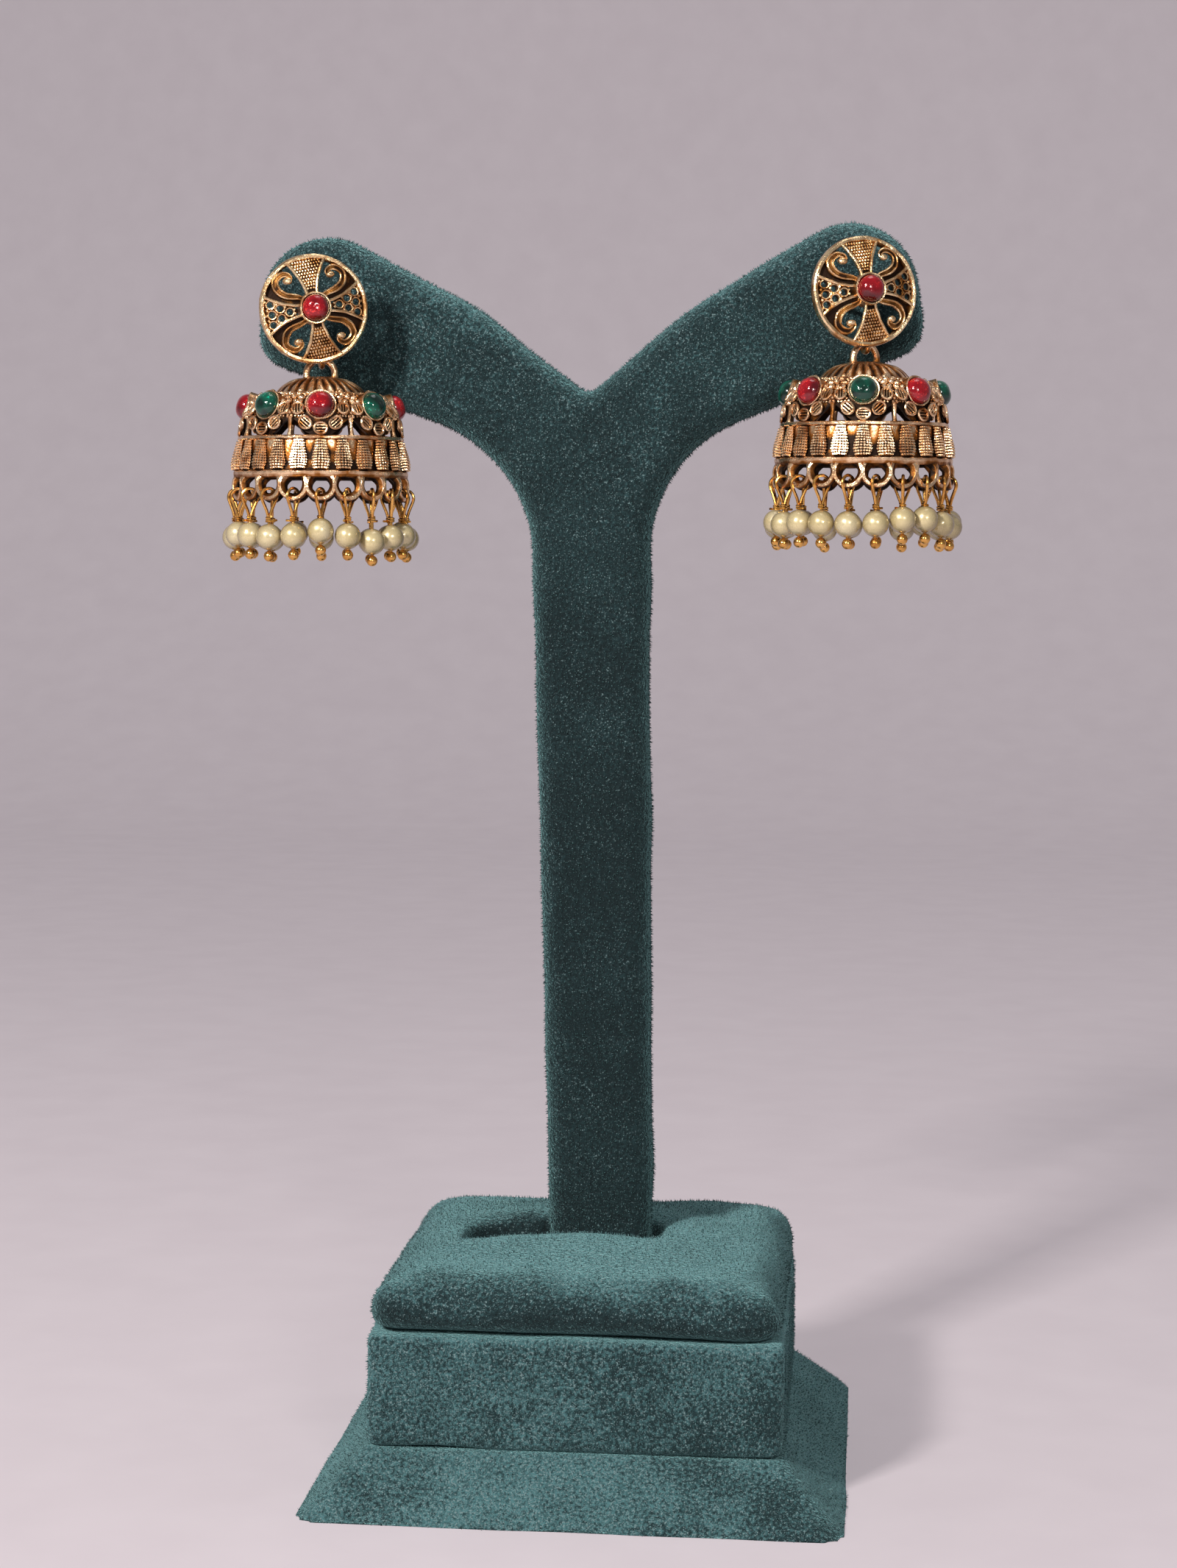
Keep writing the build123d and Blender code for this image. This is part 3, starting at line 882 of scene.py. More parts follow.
# %% [markdown]
# ## The earrings' places
#
# Each bell hangs on a joint, so the joint's place is the hang point: the top wire of the bell's bail.
# The joint's axis shows how the bail is turned, and the front stone's place how the bell is turned.

# %% Where each earring hangs
SIDES = ("left", "right")
joint_of = {joint["child"]: joint for joint in frame["joints"]}
STUD_TURNS = {"left": (18.0, 0.0, 10.5), "right": (22.5, 5.0, 7.0)}  # turn, tilt back, roll
DISC_UP, DISC_FORWARD = 7.4, 1.95


def middle_of(node):
    """The middle of a CAD node's box, in millimetres."""
    low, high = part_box(node)
    return np.array((low + high) / 2) / MM


hang, bail_turn, bell_turn, stud_frame, bell_frame, disc_frame = {}, {}, {}, {}, {}, {}
for side in SIDES:
    joint = joint_of[side + "_bell"]
    hang[side] = np.array(joint["pos_m"]) / MM
    bail_turn[side] = math.degrees(math.atan2(-joint["axis"][1], -joint["axis"][0]))
    out = middle_of(side + "_bell_stone_1") - hang[side]
    bell_turn[side] = math.degrees(math.atan2(out[0], -out[1]))
    yaw, tilt, roll = STUD_TURNS[side]
    stud_frame[side] = shift(*hang[side]) @ turn("Z", yaw) @ turn("X", -tilt) @ turn("Y", -roll)
    disc_frame[side] = stud_frame[side] @ shift(0, -DISC_FORWARD, DISC_UP) @ turn("X", 90)
    bell_frame[side] = shift(*hang[side]) @ turn("Z", bell_turn[side])
    turns = round(bail_turn[side], 1), round(bell_turn[side], 1)
    print(side, "hangs at", hang[side].round(2), "mm, and bail and bell are turned by", turns)

# %% [markdown]
# ## The stud
#
# The stud is a pierced casting, a shallow dome: a raised rim, a cross of four flared arms, a C-scroll
# with a ball end in each window between them, and a cabochon in a plain bezel. The upright arms are
# filled with rows of fine beads, and the level ones with washers round six small holes. It is built
# flat, face up, then pressed into its dome, roughened a little like a cast surface, and placed.

# %% The disc's parts
DISC_RADIUS = 8.0
DISC_RISE = 1.5
PLATE = 0.45
ARM_END, RIB_END, BEADS_END = 7.7, 7.62, 7.5
ARM_REACHES = (1.2, 2.8, 4.4, 6.0, 7.7)
ARM_HALVES = (0.62, 0.82, 1.28, 2.1, 3.25)
BEAD_PITCH, BEAD_NECK, BEAD_SWELL = 0.42, 0.11, 0.12
BEADS_FROM, BEAD_ROW_STEP, BEAD_MARGIN = 2.95, 0.45, 0.22
OVER_AND_BACK = np.array([0, 0.25, 0.5, 0.75, 1, 1, 0.75, 0.5, 0.25, 0])
TOP_AND_UNDER = np.repeat([1.0, -1.0], 5)


def arm_half_width(radius):
    """Half the width of a flared arm at a distance from the middle."""
    return np.interp(radius, ARM_REACHES, ARM_HALVES)


def inside(radius, along, across):
    """Keeps points along an arm inside a circle: along, or root of (radius squared - across squared)."""
    return np.minimum(along, np.sqrt(radius**2 - np.minimum(abs(across), radius) ** 2))


def arm_plate():
    """A thin flared plate: a flat section that widens along the arm, ending at the rim."""
    radius = np.linspace(1.4, ARM_END, 16)[:, None]
    x = arm_half_width(radius) * (2 * OVER_AND_BACK - 1)
    level = TOP_AND_UNDER * PLATE * 0.55
    grid = np.stack([-x, inside(ARM_END, radius + 0 * x, x), level + 0 * x], -1)
    return closed_up(grid, False, 0.2)


def beaded_row(radius):
    """A wire across the arm whose thickness rises and falls once for each bead."""
    half = arm_half_width(radius) - BEAD_MARGIN
    beads = max(3, int(round(half * 2 / BEAD_PITCH)))
    x = np.linspace(-half, half, beads * 5 + 1)
    wave = np.abs(np.sin(np.pi * beads * (x + half) / (2 * half))) ** 0.7
    path = np.stack([x, inside(BEADS_END, radius + 0.04 * x, x), PLATE * 0.6 + 0 * x], -1)
    shine = 0.2 + 0.86 * wave
    return bar(path, BEAD_NECK + BEAD_SWELL * wave, (0, 0, 1), sides=6, thick=1.15, polish=shine)


RIDGED = (
    # across, up, polish and painted shade
    (1.0, 0.0, 0.3), (0.9, 0.6, 0.8), (0.6, 0.85, 1.0), (0.25, 0.5, 0.25), (-0.25, 0.5, 0.25),
    (-0.6, 0.85, 1.0), (-0.9, 0.6, 0.8), (-1.0, 0.0, 0.3), (-0.7, -0.6, 0.1), (0.7, -0.6, 0.1),
)


def moulded(path, size, section, loop=False):
    """A bar with a section whose points each have their own polish and painted shade."""
    section = np.array(section)
    shine = np.tile(section[:, 2], (len(path), 1))
    return bar(path, size, (0, 0, 1), section=section[:, :2], loop=loop, polish=shine)


def rib(flip):
    """The raised edge of an arm, from the bezel to the rim."""
    radius = np.linspace(1.8, RIB_END, 14)
    half = arm_half_width(radius)
    path = np.stack([flip * half, inside(RIB_END, radius, half), 0 * radius + PLATE + 0.02], -1)
    return bar(path, 0.25, (0, 0, 1), sides=8, thick=1.3, polish=0.95)


SCROLL_POINTS = (
    (1.5, 1.6, 0.2), (2.3, 1.95, 0.3), (3.7, 2.35, 0.4), (4.75, 3.15, 0.42), (5.1, 4.3, 0.42),
    (4.6, 5.15, 0.42), (3.65, 5.55, 0.45), (2.85, 5.15, 0.5), (2.72, 4.6, 0.55),
)
SCROLL_STEPS = 34
WEB_END, WEB_HALF_THICK, WEB_SINK = 7.3, 0.14, 0.12


def scroll():
    """The C-scroll of the upper right window: a flat bar along a soft curve, with a ridge along
    either edge and a dark groove between them, and its ball."""
    path = smooth_path(SCROLL_POINTS, SCROLL_STEPS)
    taper = np.interp(np.linspace(0, 1, SCROLL_STEPS), (0, 0.35, 0.7, 1), (0.34, 0.58, 0.5, 0.28))
    knob = put(ball(0.62, 14, 8), shift(3.2, 4.5, 0.55) @ np.diag([1.15, 0.85, 1.0, 1.0]))
    return together([moulded(path, taper, RIDGED), knob])


def web():
    """The sunk plate outside the scroll: straight lines from the scroll to the rib and then the rim."""
    inner = smooth_path(SCROLL_POINTS[:7], 24)[:, :2]
    angle = np.radians(np.linspace(20, 62, 13))
    along_rib = np.linspace(2.0, 7.0, 12)[:-1]
    x = np.concatenate([along_rib, WEB_END * np.cos(angle)])[:, None]
    y = np.concatenate([arm_half_width(along_rib), WEB_END * np.sin(angle)])[:, None]
    x = inner[:, :1] * (1 - OVER_AND_BACK) + x * OVER_AND_BACK
    y = inner[:, 1:] * (1 - OVER_AND_BACK) + y * OVER_AND_BACK
    level = TOP_AND_UNDER * WEB_HALF_THICK - WEB_SINK
    return closed_up(np.stack([x, y, level + 0 * x], -1), False, 0.0)


# %% The whole disc
def both_sides(spots):
    """Spots along an arm and off its middle line, each with its twin on the other side."""
    twins = [(along, -off, *rest) for along, off, *rest in spots if off]
    return [*spots, *twins]


RIM_PROFILE = (
    # radius, height, polish and painted shade
    (7.2, -0.45, 0.2), (7.95, -0.45, 0.6), (8.02, -0.2, 0.8), (8.04, 0.35, 0.9), (7.98, 0.72, 1),
    (7.76, 0.92, 1), (7.42, 0.88, 1), (7.22, 0.62, 0.5), (7.16, 0.2, 0.15),
)
WASHER_PROFILE = (
    (0.45, -0.3, 0.1), (1.0, -0.3, 0.1), (1.0, 0.12, 0.1), (0.8, 0.2, 0.3), (0.66, 0.5, 1.0),
    (0.52, 0.46, 0.8), (0.45, 0.2, 0.1),
)
STUD_WANDER = (0.05, 0.9)  # amount, size
PIN_HEIGHTS = (2.0, 1.0, 0.4, -1.5, -6.0, -12.1, -12.4, -12.5)
PIN_RADII = (0.9, 0.7, 0.4, 0.4, 0.4, 0.4, 0.3, 0.1)
STONE_LIFT = 2.26
HOLES = both_sides(((3.7, 0.0), (5.0, 0.72), (6.3, 0.0), (6.3, 1.5)))
FILLERS = both_sides(
    ((2.8, 0.0, 0.4), (4.25, 0.95, 0.35), (5.55, 1.75, 0.45), (7.15, 0.75, 0.5), (7.05, 2.45, 0.6))
)
GRAIN_SPOTS = both_sides(
    (
        (3.0, 0.3), (4.35, 0.0), (5.65, 0.0), (5.5, 1.45), (4.3, 0.9), (5.65, 0.85), (6.9, 0.75),
        (7.05, 2.1), (7.15, 0.0),
    )
)


def ring_of(profile, sides):
    """A turned ring from radius, height, and polish with painted shade."""
    profile = np.array(profile)
    return lathe(profile[:, :2], sides, profile[:, 2], loop=True)


def bezel_cup(radius, low, high):
    """The setting round a stone: a turned wall, wider at its foot, with a lip over the stone."""
    lip = radius - 0.26
    back = lip - 0.1
    profile = (
        (back, low, 0.2), (radius + 0.1, low, 0.3), (radius + 0.02, low + 0.3, 0.5),
        (radius - 0.02, high - 0.25, 0.8), (radius, high - 0.08, 1.0), (radius - 0.08, high + 0.03, 1.1),
        (lip, high, 1.0), (back, high - 0.16, 0.1), (back, high - 0.5, 0.0),
    )
    return ring_of(profile, 40)


def pressed(shape):
    """The flat shape pressed into a dome: each point rises by rise x (1 - (r / radius) squared)."""
    points, faces, polish = shape
    share = 1 - (points[:, 0] ** 2 + points[:, 1] ** 2) / DISC_RADIUS**2
    lifted = points.copy()
    lifted[:, 2] += DISC_RISE * np.clip(share, 0, 1)
    return lifted, faces, polish


def uneven(shape, amount, size):
    """A cast surface is never true: each point wanders by up to the amount, smoothly in space."""
    points, faces, polish = shape
    wander = np.stack([drift_field(points, size, 3.1 * (k + 1)) - 0.5 for k in range(3)], -1)
    return points + 2 * amount * wander, faces, polish


def mirror(shape):
    """A shape turned over in X. Its faces are turned round again, so that they still point outwards."""
    points, faces, polish = shape
    turned_round = np.where(faces[:, 3:] < 0, faces[:, [1, 0, 2, 3]], faces[:, ::-1])
    return points * (-1, 1, 1), turned_round, polish


def washers():
    """The level arm, drawn along Y: a flat ring with a raised lip round each hole, and what lies
    between the rings filled with small plates and grains."""
    plate = lathe(((0.9, -0.3), (1.0, 0.1), (0.5, 0.16)), 12, 0.12)
    sunk = [shift(off, along) @ np.diag([size, size, 1, 1]) for along, off, size in FILLERS]
    grains = [shift(off, along, 0.3) for along, off in GRAIN_SPOTS]
    rings = [shift(off, along) for along, off in HOLES]
    ring, grain = ring_of(WASHER_PROFILE, 18), ball(0.27, 7, 4)
    return together([copies(ring, rings), copies(plate, sunk), copies(grain, grains)])


def disc():
    """The pierced disc, face up about its middle."""
    window = together([scroll(), web()])
    rows = [beaded_row(radius) for radius in np.arange(BEADS_FROM, BEADS_END, BEAD_ROW_STEP)]
    upright = together([arm_plate()] + rows)
    halves, level_halves = around(2), around(2, 90.0)
    flat = [copies(shape, halves) for shape in (upright, window, mirror(window))]
    flat += [copies(washers(), level_halves), copies(together([rib(1), rib(-1)]), around(4))]
    cup = bezel_cup(2.35, 0.75, 3.0)
    floor = lathe(((1.2, 0.9), (2.3, 0.9), (2.25, 2.2), (1.2, 2.24)), 36, 0.3)
    pin = bar([(0, 0, z) for z in PIN_HEIGHTS], PIN_RADII, (0, 1, 0), sides=14)
    rim = ring_of(RIM_PROFILE, 128)
    return uneven(together([pressed(together(flat)), rim, cup, floor, pin]), *STUD_WANDER)


def cabochon():
    """A round stone on its flat back: a short side wall, then a dome that flattens to its top."""
    dome = arc_through((1.95, 0.9), (1.443, 1.845), (0.02, 2.25), 14)
    profile = np.vstack([[(1.85, 0.0), (1.95, 0.12)], dome])
    return lathe(profile, 48)


# %% Build both studs
stone_shape = cabochon()
disc_shape = disc()
LINK_RADIUS, LINK_WIRE, LINK_LIFT = 1.3, 0.42, 0.27
link_path = np.roll(ring_path(LINK_RADIUS, 40), 1, axis=1)
link = bar(link_path, LINK_WIRE, (1, 0, 0), sides=12, loop=True, polish=0.85)
link = put(link, shift(0, 0, LINK_LIFT))
for side in SIDES:
    whole = together([put(disc_shape, disc_frame[side]), put(link, stud_frame[side])])
    make_piece(side + "_pierced_stud", whole, stud_gold, "stand", [side + "_stud"])
    stone = put(stone_shape, disc_frame[side] @ shift(0, 0, STONE_LIFT))
    make_piece(side + "_stud_ruby", stone, ruby_glass, "stand", [side + "_stud_stone"])

# %% [markdown]
# ## The bell
#
# The bell is one casting, built here from the top down: a bail, a fluted cap, a shoulder crowded with
# flowers round eight stones, a gallery of thin pillars that one can see through, a band of beaded bars
# and a rim of twenty eyes. Its wall is a closed skin, out and back in, and the ornament is set on it.
# Bell coordinates have the hang point at 0, Z up and the first stone towards -Y.

# %% The bell's outline
CAP_RIM = (6.8, -5.1)
SHOULDER = (11.4, -8.6)
BAND_TOP = (11.8, -11.6)
BARS = 24
EYES = 20
SECTOR = 360.0 / STONES
shoulder_line = np.vstack([arc_through(CAP_RIM, (9.6, -6.2), SHOULDER, 16), [BAND_TOP]])
line_steps = np.linalg.norm(np.diff(shoulder_line, axis=0), axis=1)
line_length = np.concatenate([[0], np.cumsum(line_steps)])


def on_line(length):
    """Radius and height at a length down the shoulder's outline."""
    return [np.interp(length, line_length, values) for values in shoulder_line.T]


def length_at(height):
    """The length down the outline at which it has a given height."""
    return np.interp(-height, -shoulder_line[:, 1], line_length)


def on_wall(azimuth, length, lift=0.0):
    """A matrix that sets a flat shape on the shoulder: its X runs round the bell, its Y up the wall
    and its Z straight out."""
    step = 0.05
    radius, height = on_line(length)
    low = on_line(length + step)
    high = on_line(length - step)
    rise = np.array([0.0, low[0] - high[0], high[1] - low[1]])
    rise /= np.linalg.norm(rise)
    matrix = np.eye(4)
    matrix[:3, 1] = rise
    matrix[:3, 2] = np.cross((1, 0, 0), rise)
    matrix[:3, 3] = 0, -radius, height
    return turn("Z", azimuth) @ matrix @ shift(0, 0, lift)


# %% The wall's skins
FLUTES, FLUTE_DEPTH, FLUTE_TWIST = 28, 0.42, 0.8
WALL_OUT, WALL_IN = 0.15, 0.75
EDGE_OFF_PILLAR = (0.0, 0.42, 1.2, 2.2, 3.0, 3.2)
EDGE_HEIGHTS = (-9.15, -9.2, -9.75, -10.85, -11.4, -11.9)
EDGE_RADIUS = 11.7
BAND_PROFILE = (
    # radius, height, polish and painted shade
    (12.2, -17.6, 0.2), (12.75, -17.6, 0.3), (12.9, -17.45, 0.6), (12.92, -17.2, 0.7),
    (12.98, -17.05, 1.0), (12.98, -16.7, 1.0), (12.8, -16.55, 0.8), (12.42, -16.45, 0.1),
    (12.08, -14.1, 0.1), (11.78, -12.15, 0.1), (12.1, -12.1, 0.8), (12.3, -11.95, 1.0),
    (12.3, -11.65, 1.0), (12.15, -11.5, 0.9), (11.7, -11.45, 0.4), (11.0, -11.5, 0.1),
    (10.95, -11.9, 0.1), (11.6, -16.6, 0.1), (11.75, -17.5, 0.1),
)
WALL_FOOT_ROW, WALL_MIDDLE_ROW, WALL_TOP_ROW = 7, 8, 9


def skin(outer, inner, shine_out, shine_in):
    """A closed skin: the outer grid climbs, then the inner one goes down again."""
    grid = np.concatenate([outer, inner[::-1]])
    shine = np.concatenate([shine_out, shine_in[::-1]])
    return grid.reshape(-1, 3), grid_faces(*grid.shape[:2], True), shine.ravel()


def cap_skin():
    """The fluted cap: the height rises and falls once a flute, more in the middle of its slope."""
    angle = full_turn(FLUTES * 8)
    dome = arc_through(CAP_RIM, (5.1, -3.63), (3.0, -2.85), 12)
    line = np.vstack([dome, [(2.2, -2.68), (1.2, -2.62)]])
    share = np.linspace(1, 0, len(line))[:, None]
    wave = np.abs(np.cos(FLUTES * angle / 2 + FLUTE_TWIST * (1 - share))) ** 0.7
    depth = FLUTE_DEPTH * np.sin(np.pi * np.clip(share * 0.9 + 0.08, 0, 1)) * (wave - 0.7)
    radius = line[:, :1] + 0.4 * depth
    outer = round_grid(radius, line[:, 1:] + depth, angle)
    inner = round_grid(line[:, :1] - 0.25, line[:, 1:] - 0.7, angle)
    shine = 0.1 + 1.0 * wave**2 + 0 * radius
    return skin(outer, inner, shine, 0 * shine + 0.15)


def shoulder_skin():
    """The shoulder's wall. Its lower edge rises to a point beside each pillar, which leaves the
    see-through windows of the gallery."""
    angle = full_turn(320)
    sector = math.radians(SECTOR)
    off_pillar = np.abs((angle + sector) % sector - sector / 2) * EDGE_RADIUS
    edge = np.interp(off_pillar, EDGE_OFF_PILLAR, EDGE_HEIGHTS)
    end = np.where(edge < BAND_TOP[1], line_length[-1], length_at(edge))
    share = np.linspace(1, 0, 16)[:, None]
    radius, height = on_line(share * end)
    outer = round_grid(radius - WALL_OUT, height, angle)
    inner = round_grid(radius - WALL_IN, height - 0.25 * (1 - share), angle)
    shine = 0 * radius
    return skin(outer, inner, shine + 0.04, shine + 0.1)


def band_skin():
    """The band's wall and the rim below it, with a rail at the top and another at the foot. Midway
    between two bars the wall carries a painted highlight, brightest near its top."""
    columns = 240
    profile = np.array(BAND_PROFILE)
    shine = np.tile(profile[:, 2:], (1, columns))
    gap = np.sin(full_turn(columns) * BARS / 2) ** 2
    shine[WALL_FOOT_ROW] = 0.0
    # Painted highlight on the wall midway between bars, strongest in its top row.
    shine[WALL_MIDDLE_ROW] = 0.3 * gap**4
    shine[WALL_TOP_ROW] = 1.2 * gap**2
    return lathe(profile[:, :2], columns, shine, loop=True)


# %% The band's beaded bars
BAR_HEIGHTS = (-2.2, -1.9, -1.2, -0.4, 0.8, 2.2)
BAR_HALVES = (0.80, 1.08, 1.24, 1.16, 0.90, 0.62)
BAR_THICK = 0.55
BAR_LEAN = 8.5
BEAD_ROWS, BEADS_IN_ROW, BEAD_RADIUS, BEADS_TO = 11, 8, 0.225, 1.98
BAND_PLACE = shift(0, -12.3, -14.3) @ turn("X", 90 - BAR_LEAN)


def beaded_bar():
    """One upright bar that swells towards its foot. Rows of beads cover its outer half, as many in
    each row, so that they stand in columns that spread with the bar."""
    height = np.linspace(BAR_HEIGHTS[0], BAR_HEIGHTS[-1], 12)
    half = np.interp(height, BAR_HEIGHTS, BAR_HALVES)
    path = np.stack([0 * height, height, 0 * height], -1)
    core = bar(path, half - 0.05, (0, 0, 1), sides=12, thick=BAR_THICK, polish=0.15)
    bead = ball(BEAD_RADIUS, 5, 3, 1.1)
    angle = np.radians(np.linspace(8, 172, BEADS_IN_ROW))
    rows = []
    for level in np.linspace(-BEADS_TO, BEADS_TO, BEAD_ROWS):
        reach = float(np.interp(level, BAR_HEIGHTS, BAR_HALVES))
        spots = np.tile(np.diag([0.35 + 0.65 * reach, 0.9, 0.9, 1.0]), (BEADS_IN_ROW, 1, 1))
        spots[:, 0, 3] = 0.97 * reach * np.cos(angle)
        spots[:, 1, 3] = level
        spots[:, 2, 3] = BAR_THICK * reach * np.sin(angle) + 0.02
        rows.append(copies(bead, spots))
    return together([core] + rows)


# %% Flowers and grains on the shoulder
PETAL_OVAL = (0.96, 0.80, 1.0)
PETAL_HATCH = ((-0.4, 0.75), (0.0, 0.88), (0.4, 0.75))  # height on the petal, reach
LEAVES = 6


def petal():
    """A hatched petal, lying flat: an oval rim, a dark dish in it and three bars across."""
    oval = ring_path(1.0, 20) * PETAL_OVAL + (0, 0, 0.24)
    rim = bar(oval, 0.19, (0, 0, 1), sides=7, thick=1.35, loop=True, polish=0.95)
    dish = lathe(((0.9, -0.4), (0.94, 0.05), (0.3, 0.06)), 16, 0.0)
    dish = put(dish, np.diag([1.0, 0.84, 1.0, 1.0]))
    bars = [
        bar([(-reach, y, 0.16), (0, y, 0.28), (reach, y, 0.16)], 0.12, (0, 0, 1), sides=6, polish=0.9)
        for y, reach in PETAL_HATCH
    ]
    return together([rim, dish] + bars)


def rosette():
    """A small flower: six round petals about a boss."""
    leaf = put(ball(0.52, 8, 5, (0.1, 0.4, 1, 1, 0.9)), np.diag([1.0, 0.74, 0.8, 1.0]))
    leaves = copies(leaf, around(LEAVES, 0.0, shift(0.92, 0, 0.2)))
    boss = put(ball(0.4, 8, 5), shift(0, 0, 0.4))
    return together([leaves, boss])


STONE_CENTRE = float(length_at(-10.7)) - 3.45
PETAL_REACH = 3.3
PETAL_SPINS = (-82, -41, 0, 41, 82)
FLOWERS = (  # degrees off the pillar, height, size
    (0.0, -6.3, 1.15), (0.0, -8.35, 0.62), (-11.0, -5.65, 0.6), (11.0, -5.65, 0.6),
)
GRAIN_RADIUS = 0.22
GRAIN_ROW_STEP, GRAIN_STEP = 0.42, 0.46
CLEAR_OF_STONE, CLEAR_OF_FLOWER = 2.6, 0.85


def shoulder_spots():
    """Matrices for the petals under each stone and for the flowers between stones."""
    petals, flowers = [], []
    for spin in PETAL_SPINS:
        along = STONE_CENTRE + PETAL_REACH * math.cos(math.radians(spin))
        across = PETAL_REACH * math.sin(math.radians(spin))
        azimuth = math.degrees(across / float(on_line(along)[0]))
        petals += around(STONES, 0.0, on_wall(azimuth, along, 0.08) @ turn("Z", spin))
    for off, height, size in FLOWERS:
        spot = on_wall(SECTOR / 2 + off, float(length_at(height))) @ np.diag([size, size, size, 1.0])
        flowers += around(STONES, 0.0, spot)
    return petals, flowers


def granulation(taken):
    """Close rows of grains all over the shoulder, left out where something else already sits."""
    spots = []
    for row, length in enumerate(np.arange(0.35, float(length_at(-9.1)), GRAIN_ROW_STEP)):
        count = int(2 * math.pi * float(on_line(length)[0]) / GRAIN_STEP)
        spots += around(count, 180.0 / count * (row % 2), on_wall(0.0, length, -0.02))
    spots = np.array(spots)
    seats = np.array(around(STONES, 0.0, SEAT @ shift(0, 0, -0.3)))
    keep = distance_to(spots[:, :3, 3], seats[:, :3, 3]) > CLEAR_OF_STONE
    keep &= distance_to(spots[:, :3, 3], np.array(taken)[:, :3, 3]) > CLEAR_OF_FLOWER
    return spots[keep]


# %% Bezels, pillars, rings and eyes
SEAT = shift(0, -10.9, -7.1) @ turn("X", 90 - 17.0)
STONE_IN_SEAT = -0.69
EYE_R = 12.6
EYE_MIDDLE = -18.65
EYE_CENTRELINE = 1.86
EYE_SINK, EYE_SINK_FROM, EYE_SINK_OVER = 0.55, -18.1, 0.9
PILLAR_TOP, PILLAR_RADIUS, PILLAR_FLARE = -8.9, 0.30, 0.16
BAIL_RADIUS, BAIL_WIRE, BAIL_FLARE = 2.1, 0.5, 0.28
BELL_WANDER, BARS_WANDER = (0.07, 1.1), (0.06, 1.3)  # amount, size
EYE_SECTION = (
    # towards the hole, out, polish and painted shade
    (0.56, -0.15, 0.1), (0.46, 0.1, 0.3), (0.18, 0.3, 0.4), (0.06, 0.47, 1.0), (-0.34, 0.47, 1.0),
    (-0.5, 0.22, 0.4), (-0.58, -0.1, 0.15), (-0.45, -0.38, 0.1), (0.0, -0.48, 0.1), (0.42, -0.4, 0.1),
)


def shoulder_ornament():
    """All that is set on the shoulder's wall."""
    petals, flowers = shoulder_spots()
    grains = granulation(petals + flowers)
    grain = ball(GRAIN_RADIUS, 5, 3, (0.1, 0.7, 0.9))
    beads = copies(ball(0.36, 10, 6), [SEAT @ shift(x, 0.6, -0.25) for x in (-2.85, 2.85)])
    beads = copies(beads, around(STONES))
    print("grains on the shoulder:", len(grains))
    return together([copies(petal(), petals), copies(rosette(), flowers), copies(grain, grains), beads])


def pillars():
    """A thin upright bar of the gallery between two stones, thicker at both ends."""
    rise = np.linspace(0, 1, 7)
    start = float(length_at(PILLAR_TOP))
    radius, height = on_line(start + rise * (line_length[-1] - start))
    thick = PILLAR_RADIUS + PILLAR_FLARE * (2 * rise - 1) ** 2
    path = np.stack([0 * radius, -radius + 0.15, height], -1)
    return copies(bar(path, thick, (1, 0, 0), sides=8, polish=0.8), around(STONES, SECTOR / 2))


def eyes():
    """Twenty flat-faced rings that run into one another. Their tops sink into the bell's rim."""
    path = ring_path(EYE_CENTRELINE, 36) + (0, EYE_MIDDLE, 0)
    path[:, 2] = -EYE_SINK * np.clip((path[:, 1] - EYE_SINK_FROM) / EYE_SINK_OVER, 0, 1)
    eye = moulded(path, 1.0, EYE_SECTION, loop=True)
    return copies(eye, around(EYES, 0.0, shift(0, -EYE_R, 0) @ turn("X", 90)))


def bail(turned_by):
    """The arch that hangs in the stud's loop, with feet that spread on the cap."""
    angle = np.radians(np.linspace(-32, 212, 30))
    path = BAIL_RADIUS * np.stack([np.cos(angle), 0 * angle, np.sin(angle) - 1], -1)
    low = np.clip((-1.9 - path[:, 2]) / 1.2, 0, 1)
    wire = BAIL_WIRE + BAIL_FLARE * low**2
    arch = bar(path, wire, (0, 1, 0), sides=12, polish=0.9 - 0.3 * low)
    profile = ((1.9, -3.2), (2.95, -3.05), (3.0, -2.85), (2.5, -2.6), (1.2, -2.55))
    collar = lathe(profile, 40, (0.1, 0.4, 0.9, 0.7, 0.4))
    return together([put(arch, turn("Z", turned_by)), collar])


# %% Build both bells
oval = ring_path(1.0, 10)[:, :2] * (0.3, 0.15) + (CAP_RIM[0] + 0.02, CAP_RIM[1] - 0.04)
ledge = lathe(oval, 120, 0.9, loop=True)
buds = copies(ball(0.5, 12, 7), around(STONES, SECTOR / 2, shift(0, -7.6, -5.05)))
back = lathe(((2.1, -1.95), (2.15, -1.2), (1.2, -0.75)), 24, 0.2)
bezels = copies(together([bezel_cup(2.3, -1.9, 0.12), back]), around(STONES, 0.0, SEAT))
bars = uneven(copies(beaded_bar(), around(BARS, 0.0, BAND_PLACE)), *BARS_WANDER)
skins = [cap_skin(), shoulder_skin(), band_skin()]
bell_shape = together(skins + [ledge, buds, bezels, pillars(), eyes(), shoulder_ornament()])
bell_shape = uneven(bell_shape, *BELL_WANDER)
GEMS = (("ruby", ruby_glass, "red_stone"), ("emerald", emerald_glass, "green_stone"))
for side in SIDES:
    body = side + "_bell"
    whole = together([bell_shape, bail(bail_turn[side] - bell_turn[side])])
    make_piece(body + "_casting", put(whole, bell_frame[side]), bell_gold, body, [body])
    make_piece(body + "_beaded_bars", put(bars, bell_frame[side]), bell_gold, body)
    for k, seat in enumerate(around(STONES, 0.0, SEAT @ shift(0, 0, STONE_IN_SEAT))):
        gem, glass, slot = GEMS[k % 2]
        stone = put(stone_shape, bell_frame[side] @ seat)
        make_piece(f"{body}_{gem}_{k + 1}", stone, glass, body, [f"{body}_stone_{k + 1}"])

